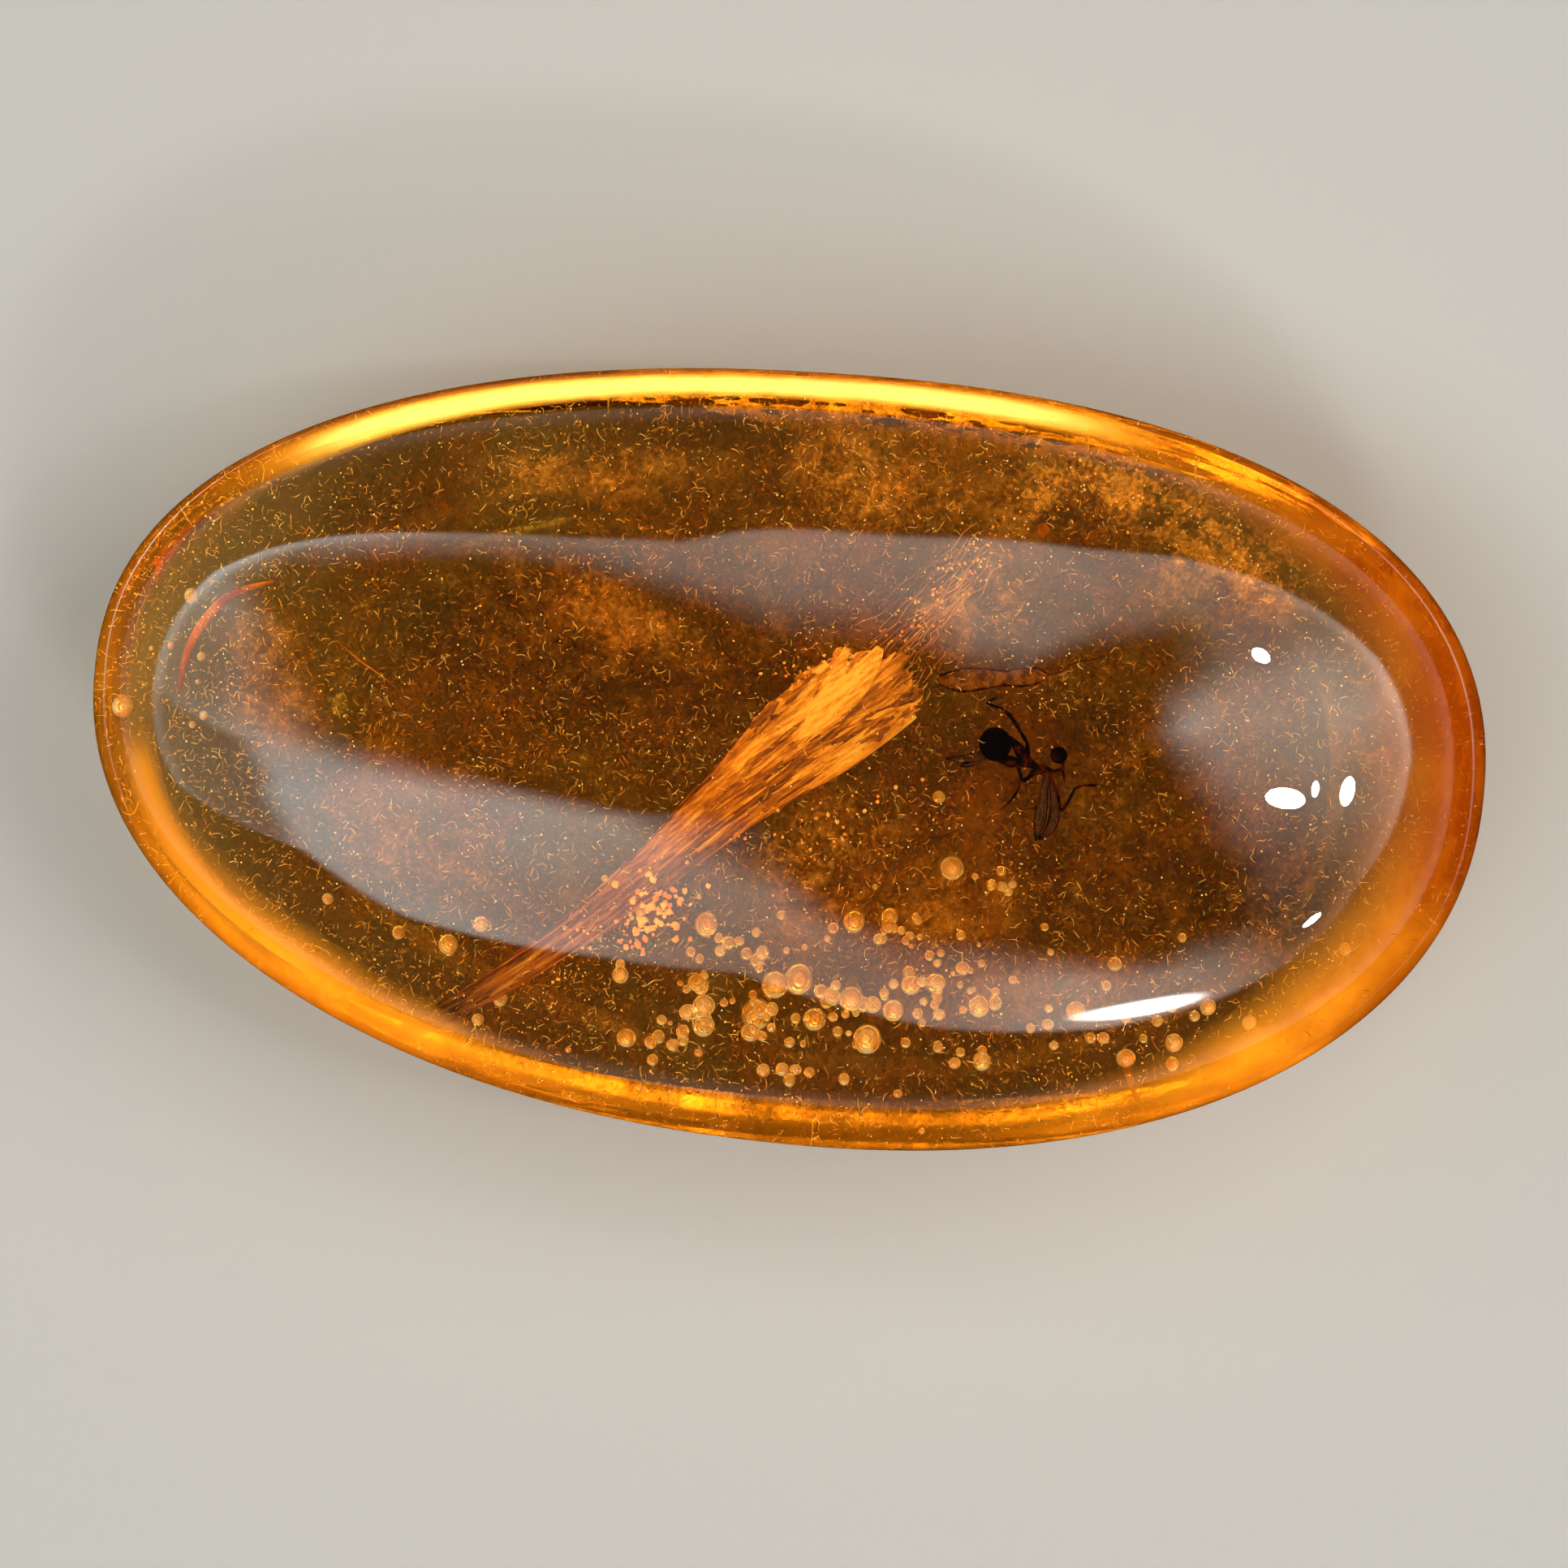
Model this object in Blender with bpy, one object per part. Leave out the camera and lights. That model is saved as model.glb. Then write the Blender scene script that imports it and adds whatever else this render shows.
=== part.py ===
"""A polished amber pebble with a small winged insect, a wood splinter and a seed husk sealed inside.

Metres, +Z up. The stone lies on its flat back, with the middle of its footprint at the origin and
its long axis along X. The clear stone is parted level into two halves, and the sealed pieces lie in
shallow pockets across the parting.
"""
import math

import bmesh
import bpy
from mathutils import Vector

MM = 0.001

# The stone
HALF_LENGTH = 18.0 * MM
HALF_WIDTH = 9.95 * MM
OUTLINE_POWER = 2.2            # 2 is an ellipse, more is squarer
TAPER = 0.05                   # the +X end is this much broader than the middle
BOW = 0.65 * MM                # how far both ends bend towards +Y
THICKENING = 0.08              # the +X end is this much thicker than the middle
GIRDLE_HEIGHT = 4.8 * MM       # height of the widest line
DOME_HEIGHT = 5.2 * MM
DOME_POWER = 2.3
BACK_DEPTH = 5.35 * MM         # the round back would reach this far, but it is worn flat before
BACK_POWER = 2.3
BACK_SOFTNESS = 0.4 * MM       # height over which the flat runs into the round
SEGMENTS, RINGS = 72, 36

# Low swells of the hand-polished dome: centre x, centre y, radius, height
SWELLS = (
    (-8.0 * MM, 3.5 * MM, 4.5 * MM, 0.10 * MM),
    (1.0 * MM, 5.0 * MM, 4.0 * MM, -0.12 * MM),
    (9.5 * MM, 1.0 * MM, 4.5 * MM, 0.12 * MM),
    (-2.0 * MM, -4.5 * MM, 5.0 * MM, 0.10 * MM),
)

# Parting and pockets
PART_HEIGHT = 5.4 * MM
GAP = 0.3 * MM                 # between the halves, and round each sealed piece

# Sides of the lofted rings
BLADE_SIDES = 10
LIMB_SIDES = 8


def signed_power(value, exponent):
    return math.copysign(abs(value) ** exponent, value)


def outline_point(angle, reach=1.0):
    """Point of the stone's outline seen from above, or inside it where reach is below 1."""
    x = HALF_LENGTH * signed_power(math.cos(angle), 2 / OUTLINE_POWER) * reach
    y = HALF_WIDTH * signed_power(math.sin(angle), 2 / OUTLINE_POWER) * reach
    return x, y * (1 + TAPER * x / HALF_LENGTH) + BOW * (x / HALF_LENGTH) ** 2


def outline_middle():
    """Middle of the outline's extent across Y, which the bow and the taper shift."""
    across = [outline_point(math.radians(degree))[1] for degree in range(360)]
    return (max(across) + min(across)) / 2


SHIFT = outline_middle()


def swell(x, y):
    total = 0.0
    for centre_x, centre_y, radius, height in SWELLS:
        distance = ((x - centre_x) ** 2 + (y - centre_y) ** 2) / radius ** 2
        total += height * math.exp(-distance)
    return total


def pebble(direction):
    """Turn a point of the unit sphere into a point of the stone's surface."""
    across = math.hypot(direction.x, direction.y)
    power = DOME_POWER if direction.z >= 0 else BACK_POWER
    reach = across ** (2 / power)
    rise = abs(direction.z) ** (2 / power)
    x, y = outline_point(math.atan2(direction.y, direction.x), reach)
    y -= SHIFT
    rise *= 1 + THICKENING * x / HALF_LENGTH
    if direction.z >= 0:
        return Vector((x, y, GIRDLE_HEIGHT + (DOME_HEIGHT + swell(x, y)) * rise))
    z = GIRDLE_HEIGHT - BACK_DEPTH * rise
    blend = max(BACK_SOFTNESS - abs(z), 0.0) / BACK_SOFTNESS
    return Vector((x, y, max(z, 0.0) + blend * blend * BACK_SOFTNESS / 4))


def collection(name):
    group = bpy.data.collections.new(name)
    bpy.context.scene.collection.children.link(group)
    return group


def material(name, colour, roughness, transmission=0.0):
    finish = bpy.data.materials.new(name)
    finish.use_nodes = True
    shader = finish.node_tree.nodes["Principled BSDF"]
    shader.inputs["Base Color"].default_value = (*colour, 1.0)
    shader.inputs["Roughness"].default_value = roughness
    shader.inputs["Metallic"].default_value = 0.0
    shader.inputs["Transmission Weight"].default_value = transmission
    shader.inputs["IOR"].default_value = 1.54
    return finish


def add_object(bm, name, group, finish=None, sharp_angle=None):
    bmesh.ops.recalc_face_normals(bm, faces=bm.faces)
    mesh = bpy.data.meshes.new(name)
    bm.to_mesh(mesh)
    bm.free()
    obj = bpy.data.objects.new(name, mesh)
    group.objects.link(obj)
    if finish:
        mesh.materials.append(finish)
    else:
        obj.hide_render = True
        obj.display_type = "WIRE"
    if sharp_angle:
        mesh.shade_smooth()
        mesh.set_sharp_from_angle(angle=math.radians(sharp_angle))
    return obj


def boolean(obj, other, operation, solver="EXACT"):
    modifier = obj.modifiers.new(other.name, "BOOLEAN")
    modifier.operation = operation
    modifier.object = other
    modifier.solver = solver


def half_stone(name, cut_height, keep_above, group, finish):
    """One half of the pebble: a sphere shaped as the stone, cut level and closed."""
    bm = bmesh.new()
    bmesh.ops.create_uvsphere(bm, u_segments=SEGMENTS, v_segments=RINGS, radius=1.0)
    for vert in bm.verts:
        vert.co = pebble(vert.co)
    bmesh.ops.bisect_plane(
        bm, geom=bm.verts[:] + bm.edges[:] + bm.faces[:],
        plane_co=(0, 0, cut_height), plane_no=(0, 0, 1),
        clear_outer=not keep_above, clear_inner=keep_above,
    )
    bmesh.ops.holes_fill(bm, edges=[edge for edge in bm.edges if edge.is_boundary])
    return add_object(bm, name, group, finish, sharp_angle=40)


def loft(stations, sides):
    """Closed blade or limb: rings of (x, y, z, half width, half thickness), in millimetres."""
    bm = bmesh.new()
    points = [Vector(station[:3]) * MM for station in stations]
    rings = []
    for index, point in enumerate(points):
        before, after = points[max(index - 1, 0)], points[min(index + 1, len(points) - 1)]
        along = (after - before).normalized()
        side = along.cross(Vector((0, 0, 1))).normalized()
        up = side.cross(along)
        half_width, half_thickness = (size * MM for size in stations[index][3:])
        turns = [2 * math.pi * corner / sides for corner in range(sides)]
        rings.append([bm.verts.new(point + side * half_width * math.cos(turn)
                                   + up * half_thickness * math.sin(turn)) for turn in turns])
    for lower, upper in zip(rings, rings[1:]):
        for corner in range(sides):
            after = (corner + 1) % sides
            bm.faces.new((lower[corner], lower[after], upper[after], upper[corner]))
    bm.faces.new(rings[0])
    bm.faces.new(rings[-1])
    return bm


def limb(points, radii):
    """Round tapered limb through points in millimetres."""
    return loft([(*point, radius, radius) for point, radius in zip(points, radii)], LIMB_SIDES)


def ball(centre, radii, segments=14, rings=9):
    """Egg shape at a centre, both in millimetres."""
    bm = bmesh.new()
    bmesh.ops.create_uvsphere(bm, u_segments=segments, v_segments=rings, radius=1.0)
    bmesh.ops.scale(bm, vec=Vector(radii) * MM, verts=bm.verts)
    bmesh.ops.translate(bm, vec=Vector(centre) * MM, verts=bm.verts)
    return bm


def fused(name, shapes, group, cutters, finish, solver="EXACT"):
    """One grown piece: the first shape with each of the others united to it."""
    first, *others = shapes
    obj = add_object(first, name, group, finish, sharp_angle=45)
    for number, shape in enumerate(others, start=1):
        boolean(obj, add_object(shape, f"{name}_shape_{number}", cutters), "UNION", solver)
    return obj


def prism(name, corners, low, high, cutters):
    """Cutter of a flat outline in millimetres, standing from low to high."""
    curve = bpy.data.curves.new(name, "CURVE")
    curve.dimensions = "2D"
    curve.fill_mode = "BOTH"
    curve.extrude = (high - low) * MM / 2
    spline = curve.splines.new("POLY")
    spline.points.add(len(corners) - 1)
    for point, (x, y) in zip(spline.points, corners):
        point.co = (x * MM, y * MM, 0.0, 1.0)
    spline.use_cyclic_u = True
    outline = bpy.data.objects.new(name + "_outline", curve)
    cutters.objects.link(outline)
    mesh = bpy.data.meshes.new_from_object(outline.evaluated_get(bpy.context.evaluated_depsgraph_get()))
    bpy.data.objects.remove(outline)
    bm = bmesh.new()
    bm.from_mesh(mesh)
    bmesh.ops.remove_doubles(bm, verts=bm.verts, dist=0.001 * MM)
    bmesh.ops.translate(bm, vec=(0, 0, (low + high) * MM / 2), verts=bm.verts)
    return add_object(bm, name, cutters)


def insect_shapes():
    """Body, limbs and wings of a small winged insect, curled on its side."""
    head = (6.97, 0.67, 5.45)
    return [
        ball((6.10, 0.42, 5.42), (0.26, 0.15, 0.16)),                                # thorax
        ball((5.36, 0.78, 5.45), (0.39, 0.39, 0.38), segments=24, rings=14),         # gaster
        ball((6.12, 0.56, 5.50), (0.13, 0.12, 0.12)),                                # hump
        ball(head, (0.20, 0.19, 0.17), segments=18, rings=11),
        limb([(5.30, 0.55, 5.42), (5.55, 0.40, 5.40), (5.95, 0.40, 5.41)], (0.13, 0.09, 0.11)),
        limb([(6.20, 0.38, 5.42), (6.52, 0.31, 5.42), (6.85, 0.24, 5.42),
              (7.08, 0.36, 5.43), (7.00, 0.60, 5.45)], (0.11, 0.08, 0.06, 0.05, 0.06)),
        limb([(7.05, 0.42, 5.38), (7.10, 0.22, 5.32), (7.17, -0.02, 5.28)],
             (0.040, 0.032, 0.020)),                                                 # jaw
        limb([(6.20, 0.52, 5.46), (6.14, 0.89, 5.60), (5.96, 1.13, 5.70), (5.71, 1.45, 5.80),
              (5.48, 1.63, 5.85), (5.06, 1.74, 5.88), (5.31, 1.92, 5.90)],
             (0.06, 0.045, 0.034, 0.034, 0.030, 0.026, 0.020)),                      # raised leg
        limb([(6.45, 0.36, 5.40), (6.19, -0.04, 5.28), (6.05, 0.01, 5.22), (6.02, -0.27, 5.16),
              (5.89, -0.50, 5.12), (5.69, -0.73, 5.10)],
             (0.050, 0.040, 0.034, 0.030, 0.028, 0.020)),                            # bent leg
        limb([(6.70, 0.27, 5.40), (6.98, -0.22, 5.30), (7.12, -0.68, 5.18), (7.27, -0.44, 5.14),
              (7.42, -0.08, 5.12), (7.62, 0.00, 5.10), (8.08, 0.05, 5.08)],
             (0.050, 0.042, 0.034, 0.032, 0.030, 0.026, 0.020)),                     # far leg
        loft([(5.20, 0.55, 5.42, 0.09, 0.07), (4.82, 0.40, 5.40, 0.12, 0.05),
              (4.45, 0.34, 5.38, 0.08, 0.04), (4.16, 0.32, 5.37, 0.03, 0.03)], BLADE_SIDES),
        loft([(5.18, 0.52, 5.38, 0.08, 0.07), (4.86, 0.29, 5.34, 0.09, 0.05),
              (4.54, 0.17, 5.32, 0.03, 0.03)], BLADE_SIDES),
        loft([(6.70, 0.26, 5.44, 0.05, 0.04), (6.66, -0.25, 5.40, 0.11, 0.035),
              (6.62, -0.80, 5.34, 0.16, 0.03), (6.58, -1.18, 5.28, 0.11, 0.03),
              (6.56, -1.42, 5.24, 0.03, 0.025)], BLADE_SIDES),                       # front wing
        loft([(6.76, 0.22, 5.36, 0.05, 0.04), (6.92, -0.35, 5.28, 0.10, 0.03),
              (6.95, -0.85, 5.20, 0.14, 0.03), (6.82, -1.20, 5.14, 0.11, 0.03),
              (6.62, -1.38, 5.12, 0.03, 0.025)], BLADE_SIDES),                       # hind wing
    ]


def splinter_shapes():
    """A torn splinter: one long blade, with flakes and strands that break off at its wide end."""
    return [
        loft([(-9.25, -7.45, 5.35, 0.16, 0.12), (-8.40, -7.00, 5.37, 0.24, 0.16),
              (-7.30, -6.35, 5.40, 0.30, 0.20), (-5.25, -4.90, 5.45, 0.42, 0.24),
              (-3.25, -3.15, 5.50, 0.58, 0.28), (-1.20, -1.15, 5.58, 0.95, 0.34),
              (0.60, 0.45, 5.68, 1.15, 0.40), (2.00, 1.35, 5.78, 0.95, 0.36),
              (3.10, 1.85, 5.86, 0.55, 0.24), (3.66, 2.02, 5.90, 0.16, 0.10)], 14),
        loft([(-2.60, -2.20, 5.58, 0.30, 0.16), (-1.35, -0.55, 5.68, 0.42, 0.18),
              (-0.45, 0.75, 5.78, 0.40, 0.16), (0.10, 1.55, 5.84, 0.20, 0.12),
              (0.32, 1.97, 5.88, 0.04, 0.04)], BLADE_SIDES),
        loft([(-1.20, -0.55, 5.75, 0.35, 0.18), (-0.05, 0.85, 5.90, 0.38, 0.20),
              (0.55, 1.85, 6.00, 0.26, 0.16), (0.92, 2.52, 6.05, 0.08, 0.08)], BLADE_SIDES),
        loft([(-0.43, 0.02, 5.82, 0.33, 0.17), (0.72, 1.26, 6.00, 0.41, 0.21),
              (1.18, 2.23, 6.11, 0.29, 0.17), (1.42, 2.98, 6.15, 0.09, 0.08)], BLADE_SIDES),
        loft([(0.20, 0.30, 5.90, 0.40, 0.20), (1.40, 1.55, 6.08, 0.50, 0.24),
              (2.05, 2.55, 6.18, 0.36, 0.18), (2.36, 3.14, 6.20, 0.12, 0.08)], BLADE_SIDES),
        loft([(0.80, 0.60, 5.88, 0.40, 0.20), (2.00, 1.65, 6.05, 0.48, 0.22),
              (2.62, 2.35, 6.14, 0.34, 0.16), (3.02, 2.90, 6.16, 0.12, 0.08)], BLADE_SIDES),
        loft([(-0.60, -1.25, 5.62, 0.28, 0.16), (1.10, -0.25, 5.72, 0.34, 0.18),
              (2.35, 0.65, 5.80, 0.26, 0.16), (3.18, 1.22, 5.84, 0.08, 0.06)], BLADE_SIDES),
    ]


def husk_shapes():
    """An empty seed husk on a flat stalk."""
    return [
        loft([(4.20, 2.22, 5.62, 0.05, 0.04), (4.60, 2.30, 5.66, 0.16, 0.06),
              (5.10, 2.36, 5.70, 0.14, 0.06), (5.45, 2.40, 5.72, 0.17, 0.08),
              (5.85, 2.45, 5.74, 0.22, 0.10), (6.20, 2.50, 5.75, 0.17, 0.08),
              (6.44, 2.55, 5.76, 0.04, 0.03)], 12),
    ]


def pockets(cutters):
    """Shallow hollows across the parting, a gap clear of what lies in them."""
    return [
        prism("pocket_splinter", [(-9.75, -7.35), (-9.15, -8.0), (-6.9, -6.85), (-4.6, -5.25),
                                  (-1.0, -2.4), (2.3, 0.1), (3.6, 1.0), (4.1, 2.3), (3.3, 2.9),
                                  (0.4, 2.4), (-2.6, -1.3), (-4.0, -3.1), (-7.6, -6.0)],
              4.85, 6.15, cutters),
        prism("pocket_broken_end", [(-1.7, -1.2), (0.6, -0.2), (2.9, 1.0), (3.5, 1.9), (3.5, 3.0),
                                    (2.7, 3.55), (1.1, 3.4), (-0.2, 2.2)],
              4.85, 6.72, cutters),
        prism("pocket_insect", [(3.8, 0.3), (4.4, -0.2), (5.4, -0.8), (5.4, -1.1), (6.2, -1.8),
                                (7.1, -1.6), (7.7, -0.4), (8.5, -0.3), (8.4, 0.4), (7.5, 0.9),
                                (7.0, 1.2), (6.5, 1.2), (5.8, 1.8), (5.4, 2.3), (4.8, 1.95),
                                (4.7, 0.8)],
              4.65, 6.25, cutters),
        prism("pocket_husk", [(3.85, 2.0), (5.4, 1.95), (6.4, 2.15), (6.8, 2.5), (6.5, 2.9),
                              (5.6, 2.97), (4.4, 2.8)],
              4.95, 6.15, cutters),
    ]


def build():
    for obj in list(bpy.data.objects):
        bpy.data.objects.remove(obj, do_unlink=True)
    parts = collection("insect_in_amber")
    cutters = collection("cutters")

    amber = material("amber", (0.80, 0.38, 0.06), 0.03, transmission=1.0)
    halves = [
        half_stone("amber_upper", PART_HEIGHT + GAP / 2, True, parts, amber),
        half_stone("amber_lower", PART_HEIGHT - GAP / 2, False, parts, amber.copy()),
    ]
    for pocket in pockets(cutters):
        for half in halves:
            boolean(half, pocket, "DIFFERENCE")

    fused("insect", insect_shapes(), parts, cutters,
          material("insect_shell", (0.09, 0.025, 0.008), 0.35))
    fused("wood_splinter", splinter_shapes(), parts, cutters,
          material("splinter_wood", (0.62, 0.32, 0.07), 0.7), solver="MANIFOLD")
    fused("seed_husk", husk_shapes(), parts, cutters,
          material("husk_skin", (0.22, 0.09, 0.03), 0.6))


build()
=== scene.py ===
# %% [markdown]
# # Insect in amber
# A polished amber pebble with an insect, a splinter of wood and a seed husk sealed in it. The solids come
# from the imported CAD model, which is the fixed frame: every piece made here is placed by it, in metres,
# with +Z up. The CAD solids are coarse, so the fine meshes below stand in for them.

# %% Load the frame
import math
import random

import bmesh
import bpy
import numpy as np
from mathutils import Matrix, Vector, noise


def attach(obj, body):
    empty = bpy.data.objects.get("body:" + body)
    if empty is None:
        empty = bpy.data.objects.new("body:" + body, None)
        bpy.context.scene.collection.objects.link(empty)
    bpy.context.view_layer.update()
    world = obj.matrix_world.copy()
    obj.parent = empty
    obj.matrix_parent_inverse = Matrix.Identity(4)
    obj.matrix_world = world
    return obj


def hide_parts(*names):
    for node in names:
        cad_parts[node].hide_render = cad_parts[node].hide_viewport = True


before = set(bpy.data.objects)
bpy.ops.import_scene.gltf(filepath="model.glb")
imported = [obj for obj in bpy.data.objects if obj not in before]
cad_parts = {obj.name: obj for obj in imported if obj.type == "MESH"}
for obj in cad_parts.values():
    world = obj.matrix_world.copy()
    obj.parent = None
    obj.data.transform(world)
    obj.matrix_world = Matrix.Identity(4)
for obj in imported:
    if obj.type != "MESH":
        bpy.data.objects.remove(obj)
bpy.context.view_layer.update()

MM = 0.001
print("nodes:", sorted(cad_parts))

# %% [markdown]
# The stone is the one shape that everything else depends on, so its rule comes first. A superellipse gives
# the outline, a little squarer than an ellipse, and a second power rounds it over the top and under the
# back. A rule is better than a sculpted mesh here, because it also tells how thick the stone is anywhere,
# and what is sealed in the stone has to stay inside it.

# %% The pebble's rule
HALF_LENGTH, HALF_WIDTH = 18.0 * MM, 9.95 * MM
OUTLINE_POWER = 2.2
TAPER, THICKENING = 0.05, 0.08
BOW = 0.65 * MM
GIRDLE_HEIGHT, DOME_HEIGHT, BACK_DEPTH = 4.8 * MM, 5.2 * MM, 5.35 * MM
ROUNDING_POWER = 2.3
BACK_SOFTNESS = 0.4 * MM
SWELLS = ((-8.0, 3.5, 4.5, 0.1), (1.0, 5.0, 4.0, -0.12), (9.5, 1.0, 4.5, 0.12), (-2.0, -4.5, 5.0, 0.1))


def signed_power(value, exponent):
    return math.copysign(abs(value) ** exponent, value)


def outline_point(angle, reach=1.0):
    x = HALF_LENGTH * signed_power(math.cos(angle), 2 / OUTLINE_POWER) * reach
    y = HALF_WIDTH * signed_power(math.sin(angle), 2 / OUTLINE_POWER) * reach
    return x, y * (1 + TAPER * x / HALF_LENGTH) + BOW * (x / HALF_LENGTH) ** 2


outline_across = [outline_point(math.radians(degree))[1] for degree in range(360)]
SHIFT = (max(outline_across) + min(outline_across)) / 2


def outline_place(angle, reach):
    """The same in the frame, whose origin is under the middle of the stone."""
    x, y = outline_point(angle, reach)
    return x, y - SHIFT


def swell(x, y):
    return sum(height * MM * math.exp(-(math.hypot(x / MM - cx, y / MM - cy) / radius) ** 2)
               for cx, cy, radius, height in SWELLS)


def soft_back(z):
    """Round the back off where it would reach below the surface that the stone lies on."""
    blend = max(BACK_SOFTNESS - abs(z), 0.0) / BACK_SOFTNESS
    return max(z, 0.0) + blend * blend * BACK_SOFTNESS / 4


def pebble(direction):
    """Turn a point of the unit sphere into a point of the stone's surface."""
    reach = math.hypot(direction.x, direction.y) ** (2 / ROUNDING_POWER)
    x, y = outline_place(math.atan2(direction.y, direction.x), reach)
    rise = abs(direction.z) ** (2 / ROUNDING_POWER) * (1 + THICKENING * x / HALF_LENGTH)
    if direction.z >= 0:
        return Vector((x, y, GIRDLE_HEIGHT + (DOME_HEIGHT + swell(x, y)) * rise))
    return Vector((x, y, soft_back(GIRDLE_HEIGHT - BACK_DEPTH * rise)))


def reach_at(x, y):
    """How far out a place lies: 0 at the middle of the stone and 1 on its outline."""
    along = x / HALF_LENGTH
    across = (y + SHIFT - BOW * along * along) / (HALF_WIDTH * (1 + TAPER * along))
    return (abs(along) ** OUTLINE_POWER + abs(across) ** OUTLINE_POWER) ** (1 / OUTLINE_POWER)


def stone_span(x, y):
    """Heights of the back and of the dome at a place, or the girdle's height outside the stone."""
    rise = max(1 - reach_at(x, y) ** ROUNDING_POWER, 0.0) ** (1 / ROUNDING_POWER)
    rise *= 1 + THICKENING * x / HALF_LENGTH
    return soft_back(GIRDLE_HEIGHT - BACK_DEPTH * rise), GIRDLE_HEIGHT + (DOME_HEIGHT + swell(x, y)) * rise


print("thickness at the middle in mm:", [round(z / MM, 2) for z in stone_span(0, 0)])

# %% [markdown]
# The camera looks straight down on the stone, which lies turned by a few degrees in the picture. A long lens
# keeps the outline free of distortion. It comes early, because the dome bends what is seen through it, and
# the places of sealed things are worked out along the camera's line of sight.

# %% Camera
def new_object(name, data):
    obj = bpy.data.objects.new(name, data)
    bpy.context.scene.collection.objects.link(obj)
    return obj


PICTURE_PIXELS = 1932
PIXELS_PER_MM = 47.68
STONE_CENTRE_PIXEL = (969.7, 932.1)
VIEW_TURN = math.radians(5)
LENS, SENSOR = 135.0, 36.0

picture_width = PICTURE_PIXELS / PIXELS_PER_MM * MM
right = Vector((math.cos(VIEW_TURN), math.sin(VIEW_TURN), 0))
up = Vector((-math.sin(VIEW_TURN), math.cos(VIEW_TURN), 0))
off_right = (STONE_CENTRE_PIXEL[0] - PICTURE_PIXELS / 2) / PIXELS_PER_MM * MM
off_up = (PICTURE_PIXELS / 2 - STONE_CENTRE_PIXEL[1]) / PIXELS_PER_MM * MM
aim = Vector((0, 0, GIRDLE_HEIGHT)) - right * off_right - up * off_up
eye = aim + Vector((0, 0, picture_width * LENS / SENSOR))

lens = bpy.data.cameras.new("camera")
lens.lens, lens.sensor_width, lens.clip_start, lens.clip_end = LENS, SENSOR, 0.01, 10.0
camera = new_object("camera", lens)
camera.matrix_world = Matrix.Translation(eye) @ Matrix((right, up, Vector((0, 0, 1)))).transposed().to_4x4()
bpy.context.scene.camera = camera
bpy.context.scene.view_settings.view_transform = "Standard"
print("camera height in mm:", round(eye.z / MM, 1))

# %% [markdown]
# A thing sealed in the stone isn't where it seems to be: the line of sight bends as it enters the dome. This
# helper follows the sight through the dome by Snell's law, down to the height where the thing lies.

# %% Places seen through the dome
AMBER_IOR = 1.54
SLOPE_STEP = 0.02 * MM
SIGHT_ROUNDS = 4               # enough to find where the sight meets the dome


def sealed_place(x, y, z):
    """Place in metres of a thing at height z that is seen at x and y, all three in millimetres."""
    target = Vector((x * MM, y * MM, GIRDLE_HEIGHT))
    sight = (target - eye).normalized()
    touch = target
    for _ in range(SIGHT_ROUNDS):
        touch = target + sight * ((stone_span(touch.x, touch.y)[1] - GIRDLE_HEIGHT) / sight.z)
    slope_x = stone_span(touch.x + SLOPE_STEP, touch.y)[1] - stone_span(touch.x - SLOPE_STEP, touch.y)[1]
    slope_y = stone_span(touch.x, touch.y + SLOPE_STEP)[1] - stone_span(touch.x, touch.y - SLOPE_STEP)[1]
    normal = Vector((-slope_x, -slope_y, 2 * SLOPE_STEP)).normalized()
    facing = -normal.dot(sight)
    bent = sight / AMBER_IOR
    bent += normal * (facing / AMBER_IOR - math.sqrt(1 - (1 - facing * facing) / AMBER_IOR ** 2))
    return touch + bent * ((z * MM - touch.z) / bent.z)


print("a thing seen at x 12, y -6 lies at", [round(c / MM, 2) for c in sealed_place(12, -6, 5)])


# %% [markdown]
# Shader maths reads best as plain expressions. This small class wraps a node's socket, so that
# `1 - mask * 0.5` adds its Math nodes by itself, and one method adds any other node.

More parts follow.
